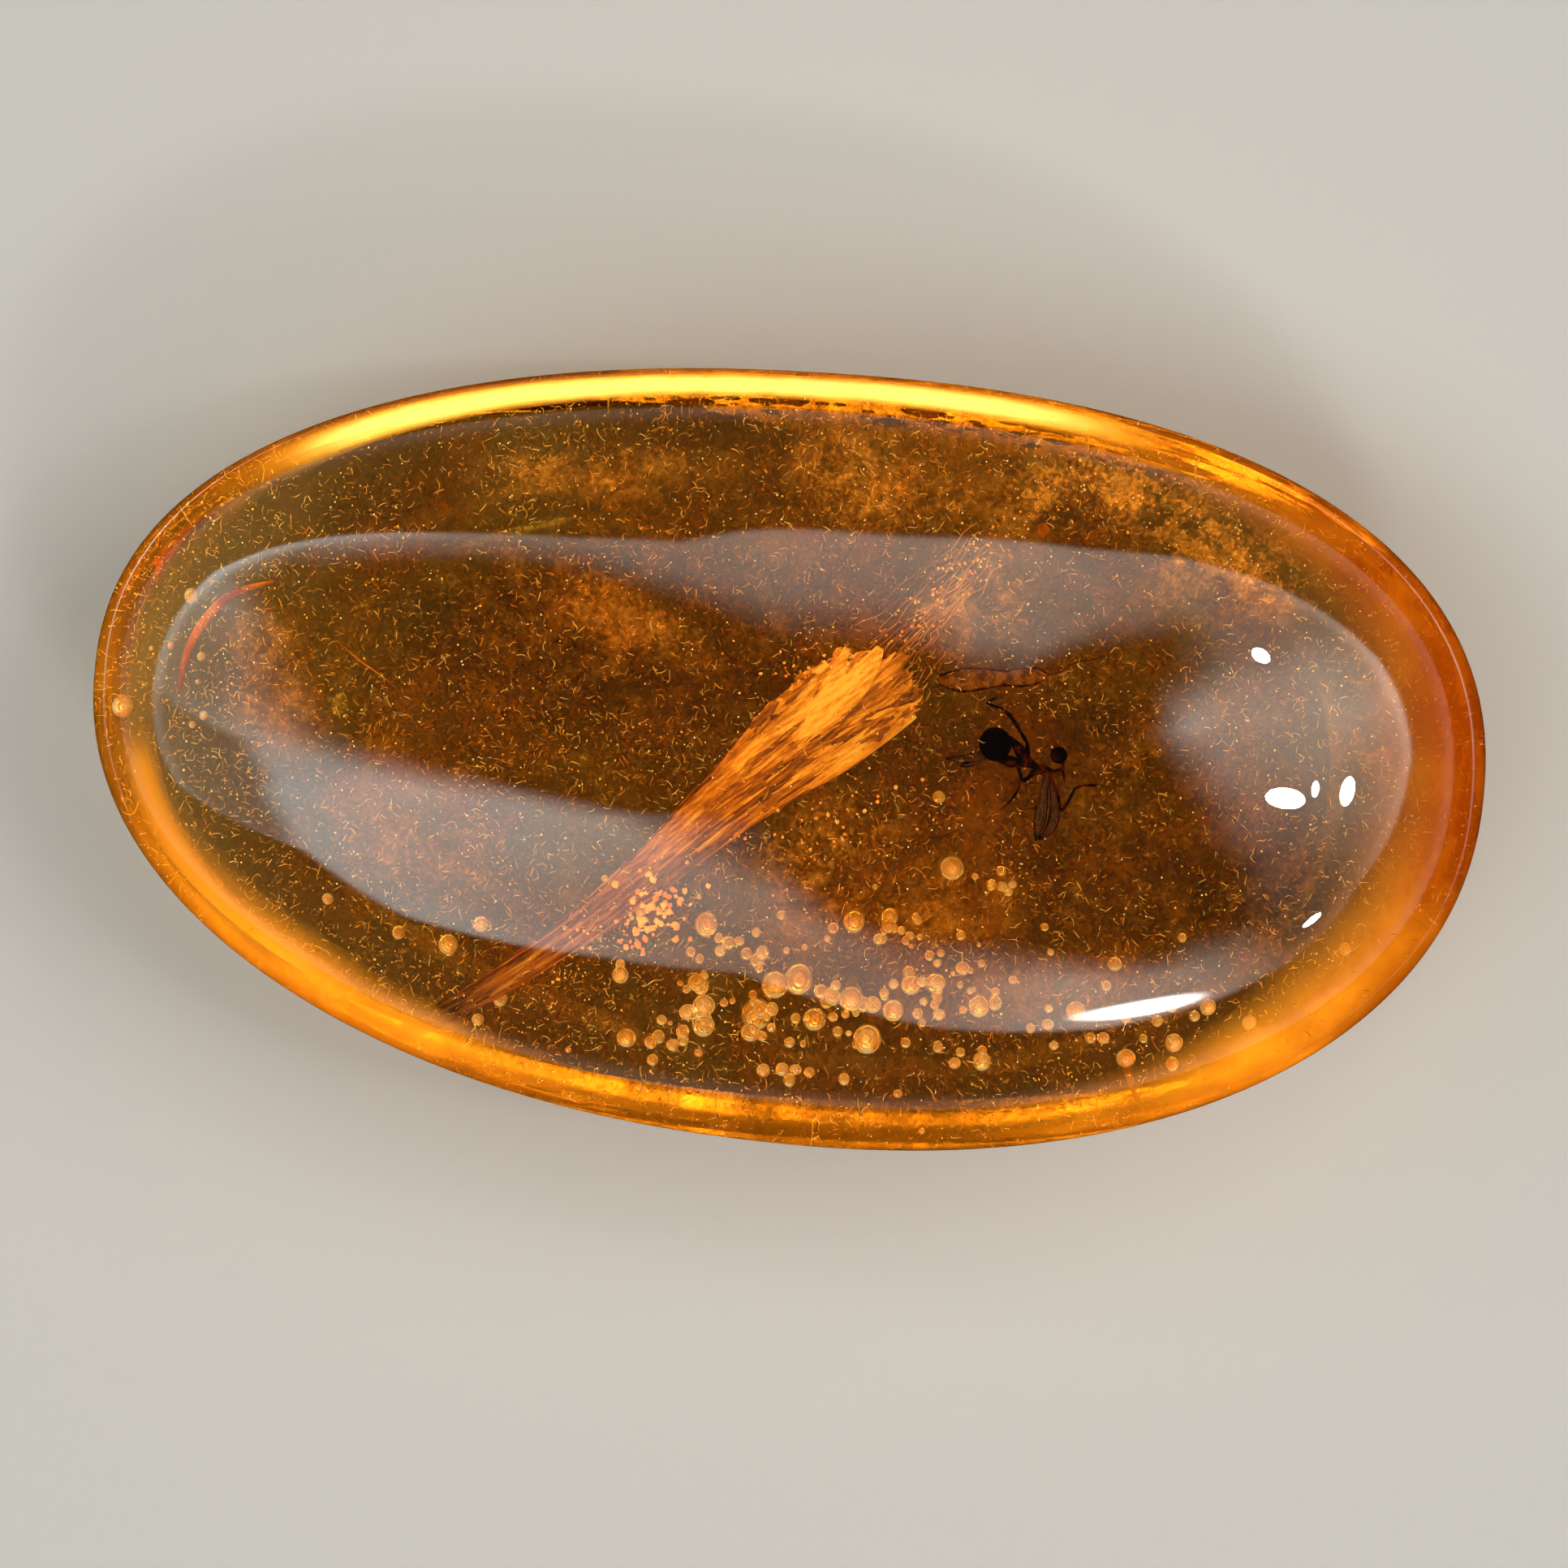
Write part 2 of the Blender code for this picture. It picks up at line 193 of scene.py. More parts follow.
# %% A socket that takes part in arithmetic
class Wire:
    def __init__(self, tree, socket=None):
        self.tree, self.socket = tree, socket

    def add(self, kind, settings=None, values=None, output=0):
        """Add a node: its type, its settings, and the values or links of its sockets."""
        node = self.tree.nodes.new("ShaderNode" + kind)
        for name, setting in (settings or {}).items():
            if name == "stops":
                while len(node.color_ramp.elements) < len(setting):
                    node.color_ramp.elements.new(1.0)
                for element, (position, colour) in zip(node.color_ramp.elements, setting):
                    element.position, element.color = position, (*colour, 1.0)
            else:
                setattr(node, name, setting)
        for name, value in (values or {}).items():
            if isinstance(value, Wire):
                self.tree.links.new(value.socket, node.inputs[name])
            else:
                node.inputs[name].default_value = value
        return Wire(self.tree, node.outputs[output] if node.outputs else None)

    def maths(self, operation, first, second=0.0):
        return self.add("Math", {"operation": operation}, {0: first, 1: second})

    def __add__(self, other):
        return self.maths("ADD", self, other)

    def __radd__(self, other):
        return self.maths("ADD", other, self)

    def __sub__(self, other):
        return self.maths("SUBTRACT", self, other)

    def __rsub__(self, other):
        return self.maths("SUBTRACT", other, self)

    def __mul__(self, other):
        return self.maths("MULTIPLY", self, other)

    def __rmul__(self, other):
        return self.maths("MULTIPLY", other, self)

    def __truediv__(self, other):
        return self.maths("DIVIDE", self, other)

    def step(self, low, high):
        """Rise softly from 0 to 1 between two values."""
        return self.add("MapRange", {"interpolation_type": "SMOOTHSTEP"},
                        {"Value": self, "From Min": low, "From Max": high})

    def mix(self, first, second):
        """Go from the first colour to the second with this mask."""
        return self.add("Mix", {"data_type": "RGBA"}, {0: self, 6: first, 7: second}, output=2)

    def ramp(self, stops):
        """Look this value up in a row of positions and colours."""
        return self.add("ValToRGB", {"stops": stops}, {"Fac": self})

    def axis(self, index):
        return self.add("SeparateXYZ", values={0: self}, output=index)

    def channel(self, index):
        return self.add("SeparateColor", values={0: self}, output=index)

    def vector_maths(self, operation, other, output=0):
        return self.add("VectorMath", {"operation": operation}, {0: self, 1: other}, output=output)

    def lumps(self, size, detail=4.0, roughness=0.55, distortion=0.0):
        """Noise on this vector, with lumps of about this size in millimetres."""
        return self.add("TexNoise", values={"Vector": self, "Scale": 1 / (size * MM), "Detail": detail,
                                            "Roughness": roughness, "Distortion": distortion})

    def bump(self, strength, distance):
        """Bump with this height, and a distance in millimetres."""
        return self.add("Bump", values={"Strength": strength, "Distance": distance * MM, "Height": self})

    def place(self):
        return self.add("TexCoord", output="Object")

    def attribute(self, name):
        """Value that was written on the mesh's points."""
        return self.add("Attribute", {"attribute_name": name}, output="Fac")


def clean_tree(owner):
    """Clear the nodes of a material, lamp or world, and give a wire to build with."""
    owner.use_nodes = True
    owner.node_tree.nodes.clear()
    return Wire(owner.node_tree)


def new_material(name):
    """New material. If it glows, its glow is seen, but it doesn't serve as a lamp."""
    material = bpy.data.materials.new(name)
    material.cycles.emission_sampling = "NONE"
    return material, clean_tree(material)


def finish_principled(start, values, **volume):
    surface = start.add("BsdfPrincipled", values=values)
    start.add("OutputMaterial", values={"Surface": surface, **volume})


def finish_sealed(start, colour, roughness, glow=0.0, alpha=1.0):
    """Close a small sealed thing's material: not glossy, and maybe with a painted glow for the light it
    scatters.
    """
    finish_principled(start, {
        "Base Color": colour, "Specular IOR Level": 0.0, "Roughness": roughness, "Alpha": alpha,
        "Emission Color": colour, "Emission Strength": glow})


# %% [markdown]
# A finished piece keeps its place in its mesh and stays at the origin. Every piece here rides on the one
# body, because nothing in a stone moves. Only the stone casts a shadow: what it holds lies within that
# shadow anyway, and leaving it out saves time.

# %% Finished pieces
def new_mesh(bm, name):
    """Turn a bmesh into a mesh and free it."""
    mesh = bpy.data.meshes.new(name)
    bm.to_mesh(mesh)
    bm.free()
    return mesh


def add_piece(bm, name, material):
    mesh = new_mesh(bm, name)
    mesh.shade_smooth()
    mesh.materials.append(material)
    piece = new_object(name, mesh)
    piece.visible_shadow = name == "amber_stone"
    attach(piece, "root")
    print(name, sum(len(face.vertices) - 2 for face in mesh.polygons), "triangles")
    return piece


# %% [markdown]
# Amber is clear, so its colour is not on its surface: it comes from how far light travels in it. A
# Principled shader with full transmission bends the light, and Volume Absorption takes the blue out
# first, then the green. The thin edge is then honey yellow and a long way through is deep orange.

# %% Amber stone
ABSORBED_PER_METRE = (48.0, 90.0, 235.0)
ABSORPTION_DENSITY = 300.0
STONE_DETAIL = 6


def amber_material():
    material, start = new_material("clear_amber")
    passed = [1 - taken / ABSORPTION_DENSITY for taken in ABSORBED_PER_METRE]
    volume = start.add("VolumeAbsorption", values={"Color": (*passed, 1), "Density": ABSORPTION_DENSITY})
    finish_principled(start, {
        "Base Color": (1, 1, 1, 1), "Transmission Weight": 1.0, "IOR": AMBER_IOR, "Roughness": 0.0,
    }, Volume=volume)
    return material


def pebble_mesh():
    bm = bmesh.new()
    bmesh.ops.create_icosphere(bm, subdivisions=STONE_DETAIL, radius=1.0)
    for vert in bm.verts:
        vert.co = pebble(vert.co)
    return bm


stone = add_piece(pebble_mesh(), "amber_stone", amber_material())
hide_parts("amber_upper", "amber_lower")

# %% [markdown]
# A polished dome is a mirror of the room, so the light is part of its finish. The studio is one large soft
# tent with an opening over the stone. It is painted in the world shader, by the direction that light comes
# from: each row gives where the tent's cloth ends and where its opening starts at one compass angle, both
# as the sine of the angle from the zenith, and how bright the cloth is there. A second table gives a thin
# strip of cloth outside the thick one, and a bright line along the hem.

# %% Soft tent
TENT_ROWS = (   # compass angle, outer edge, opening, brightness
    (-180, 0.915, 0.56, 1.6), (-174, 0.915, 0.54, 2.6), (-168, 0.914, 0.47, 3.8), (-158, 0.9, 0.37, 4.8),
    (-150, 0.8, 0.25, 4.8), (-142, 0.7, 0.16, 4.8), (-126, 0.71, 0.12, 4.2), (-110, 0.62, 0.14, 3.4),
    (-95, 0.58, 0.2, 2.7), (-80, 0.74, 0.42, 2.6), (-66, 0.81, 0.52, 4.8), (-52, 0.84, 0.64, 3.0),
    (-36, 0.85, 0.62, 0.4), (-20, 0.83, 0.46, 0.9), (-8, 0.86, 0.42, 1.7), (6, 0.9, 0.34, 3.2),
    (20, 0.89, 0.3, 4.8), (30, 0.88, 0.38, 4.4), (41, 0.852, 0.44, 2.6), (52, 0.822, 0.5, 1.9),
    (64, 0.766, 0.4, 2.4), (74, 0.68, 0.24, 3.0), (86, 0.62, 0.25, 3.2), (98, 0.53, 0.37, 2.2),
    (110, 0.57, 0.45, 1.8), (123, 0.65, 0.54, 1.9), (134, 0.745, 0.62, 2.4), (143, 0.815, 0.7, 3.0),
    (152, 0.865, 0.76, 3.0), (164, 0.885, 0.62, 1.9), (180, 0.915, 0.56, 1.6),
)
HEM_ROWS = (   # compass angle, width of the thin outer cloth, light along the hem
    (-180, 0.0, 0.35), (-176, 0.12, 0.3), (-170, 0.28, 0.25), (-160, 0.28, 0.2), (-150, 0.14, 0.1),
    (-142, 0.0, 0.0), (-60, 0.0, 0.0), (-20, 0.0, 0.1), (6, 0.0, 0.3), (24, 0.0, 0.5), (50, 0.0, 0.25),
    (70, 0.0, 0.0), (120, 0.0, 0.1), (138, 0.0, 0.5), (150, 0.0, 0.9), (165, 0.0, 0.6), (180, 0.0, 0.35),
)
TENT_BRIGHTEST = 8.0
TENT_EDGE = 0.014
FOLD_SCALE, FOLD_SWAY = 3.2, 0.22
COOL_CLOTH, WARM_CLOTH = (0.8, 0.97, 1.0, 1), (1.0, 0.91, 0.78, 1)
THIN_CLOTH = 0.22              # brightness of the thin outer cloth as a share of the rest
HEM_BRIGHTEST = 4.0
ROOM_DARK, ROOM_PALE, ROOM_TINT = 0.04, 0.62, (0.94, 0.93, 0.86, 1)

world = bpy.data.worlds.new("studio")
bpy.context.scene.world = world
world.cycles.sampling_method = "NONE"
start = clean_tree(world)
direction = start.add("TexCoord", output="Generated")
east, north, height = (direction.axis(index) for index in range(3))
compass = start.maths("ARCTAN2", north, east) / (2 * math.pi) + 0.5
tent = compass.ramp([((angle + 180) / 360, (outer, opening, level / TENT_BRIGHTEST))
                     for angle, outer, opening, level in TENT_ROWS])
outer_edge, opening_edge = tent.channel(0), tent.channel(1)
brightness = tent.channel(2) * TENT_BRIGHTEST
folds = start.add("TexNoise", values={"Vector": direction, "Scale": FOLD_SCALE, "Detail": 2.0})
away = start.maths("SQRT", east * east + north * north)
hems = compass.ramp([((angle + 180) / 360, (thin, line, 0)) for angle, thin, line in HEM_ROWS])
thin_width, hem_light = hems.channel(0), hems.channel(1)
inside = outer_edge - away
mouth = away - opening_edge + (folds - 0.5) * FOLD_SWAY
cloth = inside.step(-TENT_EDGE, TENT_EDGE) * mouth.step(-0.05, 0.13) * height.step(0.0, 0.05)
thickness = (inside - thin_width).step(-0.06, 0.03) * (1 - THIN_CLOTH) + THIN_CLOTH
hem_line = inside.step(-0.004, 0.006) * (1 - inside.step(0.012, 0.05)) * hem_light * HEM_BRIGHTEST
room = (height.step(0.03, 0.22) * (ROOM_DARK - ROOM_PALE) + ROOM_PALE) * height.step(-0.03, 0.0)
level = room + cloth * brightness * thickness * (folds * 1.1 + 0.45) + hem_line
cloth_colour = east.step(-0.75, 0.05).mix(COOL_CLOTH, WARM_CLOTH)
background = start.add("Background", values={"Color": cloth.mix(ROOM_TINT, cloth_colour), "Strength": level})
start.add("OutputWorld", values={"Surface": background})
print("tent rows:", len(TENT_ROWS))

# %% [markdown]
# Light that enters low from one side runs round inside the stone by total reflection and leaves at the
# opposite rim. Low warm strips all round make the rim glow. A few small bright lamps give the sharp
# highlights. A lamp is given by its radiance, and its power follows from its area, so that a lamp can
# change size without changing how bright its mirror image is.


# %% Lamps
WARM = (1.0, 0.66, 0.32)
LAMP_DISTANCE = 0.6
STREAK_CORE = 0.35


def soften(lamp, core):
    """Let a lamp fall off from a bright core, given as a share of its size, to nothing at its edge."""
    start = clean_tree(lamp)
    across = start.add("NewGeometry", output="Parametric")
    away = across.vector_maths("DISTANCE", (0.5, 0.5, 0), output="Value") * 2
    light = start.add("Emission", values={"Strength": 1 - away.step(core, 1.0)})
    start.add("OutputLight", values={"Surface": light})


def softbox(name, azimuth, elevation, width, height, radiance, colour=(1, 1, 1), roll=None):
    """Flat lamp that faces the stone, in degrees and metres. With a roll it is a mirrored ellipse."""
    turn, rise = math.radians(azimuth), math.radians(elevation)
    back = Vector((math.cos(turn) * math.cos(rise), math.sin(turn) * math.cos(rise), math.sin(rise)))
    side = Vector((0, 0, 1)).cross(back).normalized()
    lamp = bpy.data.lights.new(name, "AREA")
    lamp.shape = "RECTANGLE" if roll is None else "ELLIPSE"
    lamp.size, lamp.size_y = width, height
    lamp.energy = radiance * math.pi * width * height
    lamp.color = colour
    obj = new_object(name, lamp)
    turned = Matrix((side, back.cross(side), back)).transposed().to_4x4()
    obj.matrix_world = (Matrix.Translation(back * LAMP_DISTANCE) @ turned
                        @ Matrix.Rotation(math.radians(roll or 0), 4, "Z"))
    obj.visible_camera = False
    obj.visible_glossy = obj.visible_diffuse = roll is not None
    if name == "streak":
        soften(lamp, STREAK_CORE)


STRIPS = (   # name, compass angle, elevation, width, height, radiance
    ("strip_front", -92, 14, 1.3, 0.15, 16.0), ("strip_front_left", -140, 14, 0.5, 0.15, 14.0),
    ("strip_back", 90, 14, 1.3, 0.15, 16.0), ("strip_back_left", 138, 14, 0.6, 0.15, 16.0),
    ("strip_left", 180, 15, 0.5, 0.18, 14.0), ("strip_right", 0, 13, 0.4, 0.12, 5.0),
)
SPARKS = (   # the same, and the roll
    ("spark_high", 37.5, 51.3, 0.034, 0.026, 40, -25), ("spark_wide", -2.5, 54.5, 0.028, 0.062, 50, 0),
    ("spark_inner", 0, 50.1, 0.022, 0.014, 30, 0), ("spark_outer", 0, 44.1, 0.04, 0.031, 40, -20),
    ("spark_low", -29.8, 38.0, 0.038, 0.02, 35, -12), ("streak", -59.5, 39.2, 0.165, 0.065, 40, -27),
)
for strip in STRIPS:
    softbox(*strip, colour=WARM)
for *spark, roll in SPARKS:
    softbox(*spark, roll=roll)
print("lamps:", len(STRIPS) + len(SPARKS))

# %% [markdown]
# The floor is a plain pale sheet. Its tone matters, because it is also seen through the stone. It is left
# out of mirror images, where it would make the rim look pink.

# %% Floor
FLOOR_TONE = (0.42, 0.415, 0.405, 1)
FLOOR_SIZE, FLOOR_DROP = 1.5, 0.03 * MM
material, start = new_material("pale_floor")
finish_principled(start, {"Base Color": FLOOR_TONE, "Roughness": 0.8})
bm = bmesh.new()
bmesh.ops.create_grid(bm, x_segments=1, y_segments=1, size=FLOOR_SIZE)
bmesh.ops.translate(bm, vec=(0, 0, -FLOOR_DROP), verts=bm.verts)
floor = new_object("floor", new_mesh(bm, "floor"))
floor.data.materials.append(material)
floor.visible_glossy = False
print("floor tone", FLOOR_TONE[:3])

# %% [markdown]
# Most sealed things are long and thin: blades, strands, legs and hairs. One helper makes them all. It
# draws a ring at the first row, extrudes it from row to row, and closes both ends.

# %% Lofts
STRAIGHT_UP = Vector((0, 0, 1))


def lumpiness(point, sharpness=0.8, octaves=3):
    """Layered noise at a point, about between -1 and 1."""
    return noise.fractal(Vector(point), sharpness, 2.0, octaves)


def side_of(heading):
    """Level direction to the right of a heading."""
    return Vector(heading).normalized().cross(STRAIGHT_UP).normalized()


def smooth_rows(rows, steps):
    """More rows on a smooth curve through the given ones."""
    rows = [np.array(row, float) for row in rows]
    fine = []
    for index in range(len(rows) - 1):
        before, here = rows[max(index - 1, 0)], rows[index]
        there, after = rows[index + 1], rows[min(index + 2, len(rows) - 1)]
        for step in range(steps):
            t = step / steps
            fine.append(here + 0.5 * t * (there - before + t * (2 * before - 5 * here + 4 * there - after
                                                                + t * (3 * (here - there) + after - before))))
    return fine + [rows[-1]]


def loft_mesh(rows, sides=8):
    """Closed tube through rows of x, y, z, half width and half thickness, in millimetres."""
    places = [Vector(row[:3]) * MM for row in rows]
    last = len(rows) - 1
    turns = []
    for index, row in enumerate(rows):
        ahead = (places[min(index + 1, last)] - places[max(index - 1, 0)]).normalized()
        side = ahead.cross(STRAIGHT_UP).normalized()
        axes = Matrix((side, side.cross(ahead), ahead)).transposed().to_4x4()
        width, thickness = max(row[3], 0.002) * MM, max(row[4], 0.002) * MM
        turns.append(Matrix.Translation(places[index]) @ axes @ Matrix.Diagonal((width, thickness, 1, 1)))
    bm = bmesh.new()
    ring = bmesh.ops.create_circle(bm, segments=sides, radius=1.0, matrix=turns[0])["verts"]
    edges = list(bm.edges)
    bmesh.ops.edgeloop_fill(bm, edges=edges)
    for here, there in zip(turns, turns[1:]):
        made = bmesh.ops.extrude_edge_only(bm, edges=edges)["geom"]
        ring = [item for item in made if isinstance(item, bmesh.types.BMVert)]
        edges = [item for item in made if isinstance(item, bmesh.types.BMEdge)]
        bmesh.ops.transform(bm, matrix=there @ here.inverted(), verts=ring)
    bmesh.ops.edgeloop_fill(bm, edges=edges)
    bmesh.ops.recalc_face_normals(bm, faces=bm.faces)
    return new_mesh(bm, "loft")


def join(bm, mesh):
    """Add a mesh to a bmesh and remove it."""
    bm.from_mesh(mesh)
    bpy.data.meshes.remove(mesh)


def add_loft(bm, rows, sides=8, tone=None):
    """Add a loft, with a tone between 0 and 1 on its points if one is given."""
    count = len(bm.verts)
    join(bm, loft_mesh(rows, sides))
    if tone is not None:
        layer = bm.verts.layers.float.get("tone") or bm.verts.layers.float.new("tone")
        bm.verts.ensure_lookup_table()
        for vert in bm.verts[count:]:
            vert[layer] = tone


def add_ball(bm, centre, radii, detail=3):
    """Ellipsoid with its centre and radii in millimetres."""
    matrix = Matrix.Translation(Vector(centre) * MM) @ Matrix.Diagonal((*[r * MM for r in radii], 1))
    bmesh.ops.create_icosphere(bm, subdivisions=detail, radius=1.0, matrix=matrix)


# %% [markdown]
# The splinter is a torn piece of plant fibre. A plain blade looks like plastic, so the blade is only its
# core: strands run along it at many depths, and flakes break off at its wide end. Each strand follows the
# blade's own curve at a fixed share of its width, and so they taper and bend together.

# %% Splinter's blade and strands
BLADE_ROWS = (
    (-9.25, -7.45, 5.35, 0.14, 0.1), (-8.4, -7.0, 5.37, 0.22, 0.13), (-7.3, -6.35, 5.4, 0.25, 0.15),
    (-5.25, -4.9, 5.45, 0.34, 0.17), (-3.25, -3.15, 5.5, 0.5, 0.2), (-1.2, -1.15, 5.58, 0.82, 0.25),
    (0.6, 0.45, 5.68, 1.02, 0.3), (1.8, 1.22, 5.76, 0.86, 0.26), (2.6, 1.65, 5.82, 0.58, 0.18),
    (3.05, 1.86, 5.86, 0.14, 0.08),
)
STRAND_COUNT, STRAND_ROWS = 260, 14
CORE_TONE = 0.25
splinter_random = random.Random(11)
blade = smooth_rows(BLADE_ROWS, 8)


def on_blade(share, across, above):
    """Point on the blade: share of its length, then shares of its half width and half thickness."""
    position = min(max(share, 0.0), 0.999) * (len(blade) - 1)
    index = int(position)
    here, there = blade[index], blade[index + 1]
    row = here + (there - here) * (position - index)
    side = side_of(there[:3] - here[:3])
    return Vector(row[:3]) + side * (across * row[3]) + STRAIGHT_UP * (above * row[4])


def add_strand(bm, start, end, across, above, radius):
    """Thin tube along the blade that wanders a little and tapers at both ends."""
    seed = splinter_random.uniform(0, 100)
    rows = []
    for index in range(STRAND_ROWS):
        t = index / (STRAND_ROWS - 1)
        share = start + (end - start) * t
        wander = noise.noise(Vector((seed, share * 9, 0))) * 0.22
        place = on_blade(share, across + wander, above + 0.35 * noise.noise(Vector((share * 14, seed, 3))))
        thick = radius * min(1.0, 5 * t + 0.15, 6 * (1 - t) + 0.1)
        rows.append((*place, thick * 1.5, thick))
    add_loft(bm, rows, 5, tone=splinter_random.random())


bm = bmesh.new()
add_loft(bm, blade, 20, tone=CORE_TONE)
for vert in bm.verts:
    place = vert.co / MM
    rough = lumpiness((place.x * 2.2 + place.y * 1.9, place.x * 3 - place.y * 3.3, place.z * 2))
    vert.co += vert.co.normalized().cross(STRAIGHT_UP) * (rough * 0.05 * MM) + STRAIGHT_UP * (rough * 0.06 * MM)
for _ in range(STRAND_COUNT):
    start_share = splinter_random.uniform(0.0, 0.72)
    end_share = min(start_share + splinter_random.uniform(0.16, 0.5), 0.985)
    across = splinter_random.uniform(-1.0, 1.0)
    over = splinter_random.choice((1, 1, 1, -1)) * math.sqrt(1 - across * across)
    add_strand(bm, start_share, end_share, across, over, splinter_random.uniform(0.022, 0.062))
print("strands:", STRAND_COUNT)

# %% [markdown]
# The flakes are short lofts that lean away from the blade. The six large ones are listed one by one and the
# small ones are drawn at random along the torn edge, leaning from steep at its left to flat at its right.

# %% Splinter's flakes
LARGE_FLAKES = (
    ((-2.6, -2.2, 5.58, 0.26, 0.12), (-1.35, -0.55, 5.68, 0.36, 0.13), (-0.45, 0.75, 5.78, 0.34, 0.12),
     (0.1, 1.55, 5.84, 0.17, 0.09), (0.32, 1.97, 5.88, 0.03, 0.03)),
    ((-1.2, -0.55, 5.75, 0.28, 0.12), (-0.05, 0.85, 5.9, 0.3, 0.13), (0.55, 1.85, 6.0, 0.2, 0.11),
     (0.84, 2.28, 6.05, 0.06, 0.05)),
    ((-0.43, 0.02, 5.82, 0.26, 0.11), (0.7, 1.2, 6.0, 0.32, 0.13), (1.12, 2.08, 6.11, 0.22, 0.11),
     (1.3, 2.7, 6.15, 0.08, 0.05)),
    ((0.2, 0.3, 5.9, 0.32, 0.13), (1.4, 1.55, 6.08, 0.38, 0.15), (1.9, 2.3, 6.18, 0.27, 0.12),
     (2.14, 2.78, 6.2, 0.1, 0.05)),
    ((0.8, 0.6, 5.88, 0.32, 0.13), (2.0, 1.65, 6.05, 0.37, 0.15), (2.45, 2.18, 6.14, 0.25, 0.11),
     (2.78, 2.66, 6.16, 0.1, 0.05)),
    ((-0.6, -1.25, 5.62, 0.22, 0.11), (1.1, -0.25, 5.72, 0.27, 0.12), (2.35, 0.65, 5.8, 0.2, 0.11),
     (3.18, 1.22, 5.84, 0.06, 0.04)),
)
SMALL_FLAKES, FLAKE_ROWS = 150, 9
DOWN_THE_BLADE = Vector((0.78, 0.62, 0))
TORN_EDGE = ((0.05, 1.45), (0.55, 1.95), (1.15, 2.62), (2.0, 2.72), (2.72, 2.66), (3.15, 2.1), (3.42, 1.5))


def torn_edge(share):
    """Place on the broken end, from its upper left corner round to its lower right one."""
    position = share * (len(TORN_EDGE) - 1)
    index = min(int(position), len(TORN_EDGE) - 2)
    here, there = Vector(TORN_EDGE[index]), Vector(TORN_EDGE[index + 1])
    return here + (there - here) * (position - index)


def add_flake(bm, tip, heading, length, width, lift):
    """Torn chip: thin, curled upwards, and ragged along its length. All in millimetres and degrees."""
    seed = splinter_random.uniform(0, 100)
    ahead = Vector((math.cos(math.radians(heading)), math.sin(math.radians(heading)), 0))
    rows = []
    for index in range(FLAKE_ROWS):
        t = index / (FLAKE_ROWS - 1)
        ragged = 1 + 0.7 * noise.noise(Vector((seed, t * 6, 1)))
        place = tip - ahead * (length * (1 - t)) + STRAIGHT_UP * (lift * t * t)
        place -= side_of(ahead) * (0.12 * noise.noise(Vector((t * 3, seed, 5))))
        half = width * ragged * min(1.0, 0.4 + 2.5 * t, 3.2 * (1 - t) + 0.15)
        rows.append((*place, half, half * 0.34))
    add_loft(bm, rows, 6, tone=splinter_random.random())


for flake in LARGE_FLAKES:
    add_loft(bm, smooth_rows(flake, 5), 12, tone=splinter_random.random())
for _ in range(SMALL_FLAKES):
    share = splinter_random.random()
    edge = torn_edge(share)
    inward = splinter_random.uniform(-0.05, 1.1)
    heading = splinter_random.gauss(58 - 26 * share, 7)
    length = splinter_random.uniform(0.4, 1.3)
    tip = Vector((*edge, splinter_random.uniform(5.75, 6.12))) - DOWN_THE_BLADE * inward
    add_flake(bm, tip, heading, length, splinter_random.uniform(0.04, 0.13), splinter_random.uniform(0.0, 0.16))
print("flakes:", len(LARGE_FLAKES) + SMALL_FLAKES)

# %% [markdown]
# The wood's colour has two parts: fine streaks that run with the fibres, and a slow change from the charred
# dark end at the rim to the bright torn end. A Mapping node turns the object's coordinates so that one
# axis runs along the blade. Light soaks into dry fibre, and a little emission stands in for that.

# %% Splinter's finish
BLADE_TURN = math.radians(-40)
BLADE_START, BLADE_LENGTH = -12.0, 16.5     # in millimetres along the turned axis
FIBRE_TONES = ((0.34, (0.07, 0.016, 0.002)), (0.46, (0.34, 0.105, 0.008)), (0.56, (0.76, 0.31, 0.03)),
               (0.67, (1.0, 0.66, 0.14)))
TONES_ALONG = ((0.0, (0.1, 0.075, 0.045)), (0.1, (0.14, 0.095, 0.05)), (0.2, (0.46, 0.3, 0.14)),
               (0.45, (0.62, 0.5, 0.34)), (0.66, (0.95, 0.86, 0.62)), (0.85, (1.0, 1.0, 0.9)))


def wood_material():
    material, start = new_material("torn_wood")
    turned = start.add("Mapping", values={"Vector": start.place(), "Rotation": (0, 0, BLADE_TURN)})
    along = turned.axis(0) / MM
    drawn = start.add("Mapping", values={"Vector": turned, "Scale": (0.16, 1, 1)})
    streaks = drawn.lumps(0.09, 5, 0.6)
    bands = drawn.lumps(0.45, 3, 0.5)
    fibre = (streaks * 0.5 + bands * 0.32 + start.attribute("tone") * 0.2).ramp(FIBRE_TONES)
    life = ((along - BLADE_START) / BLADE_LENGTH).ramp(TONES_ALONG)
    colour = start.add("Mix", {"data_type": "RGBA", "blend_type": "MULTIPLY"},
                       {0: 1.0, 6: fibre, 7: life}, output=2)
    finish_principled(start, {
        "Base Color": colour, "Roughness": 0.55, "Emission Color": colour, "Emission Strength": 0.32,
        "Normal": streaks.bump(0.6, 0.03)})
    return material


splinter = add_piece(bm, "torn_splinter", wood_material())
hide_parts("wood_splinter")

# %% [markdown]
# The insect is small and dark, curled on its side. Chitin is glossy and deep brown, and where it is thin it
# lets red light through. Its body is a row of swollen segments, its legs are jointed tubes with thick
# thighs and thin feet, and its wings are flat lofts with raised veins.

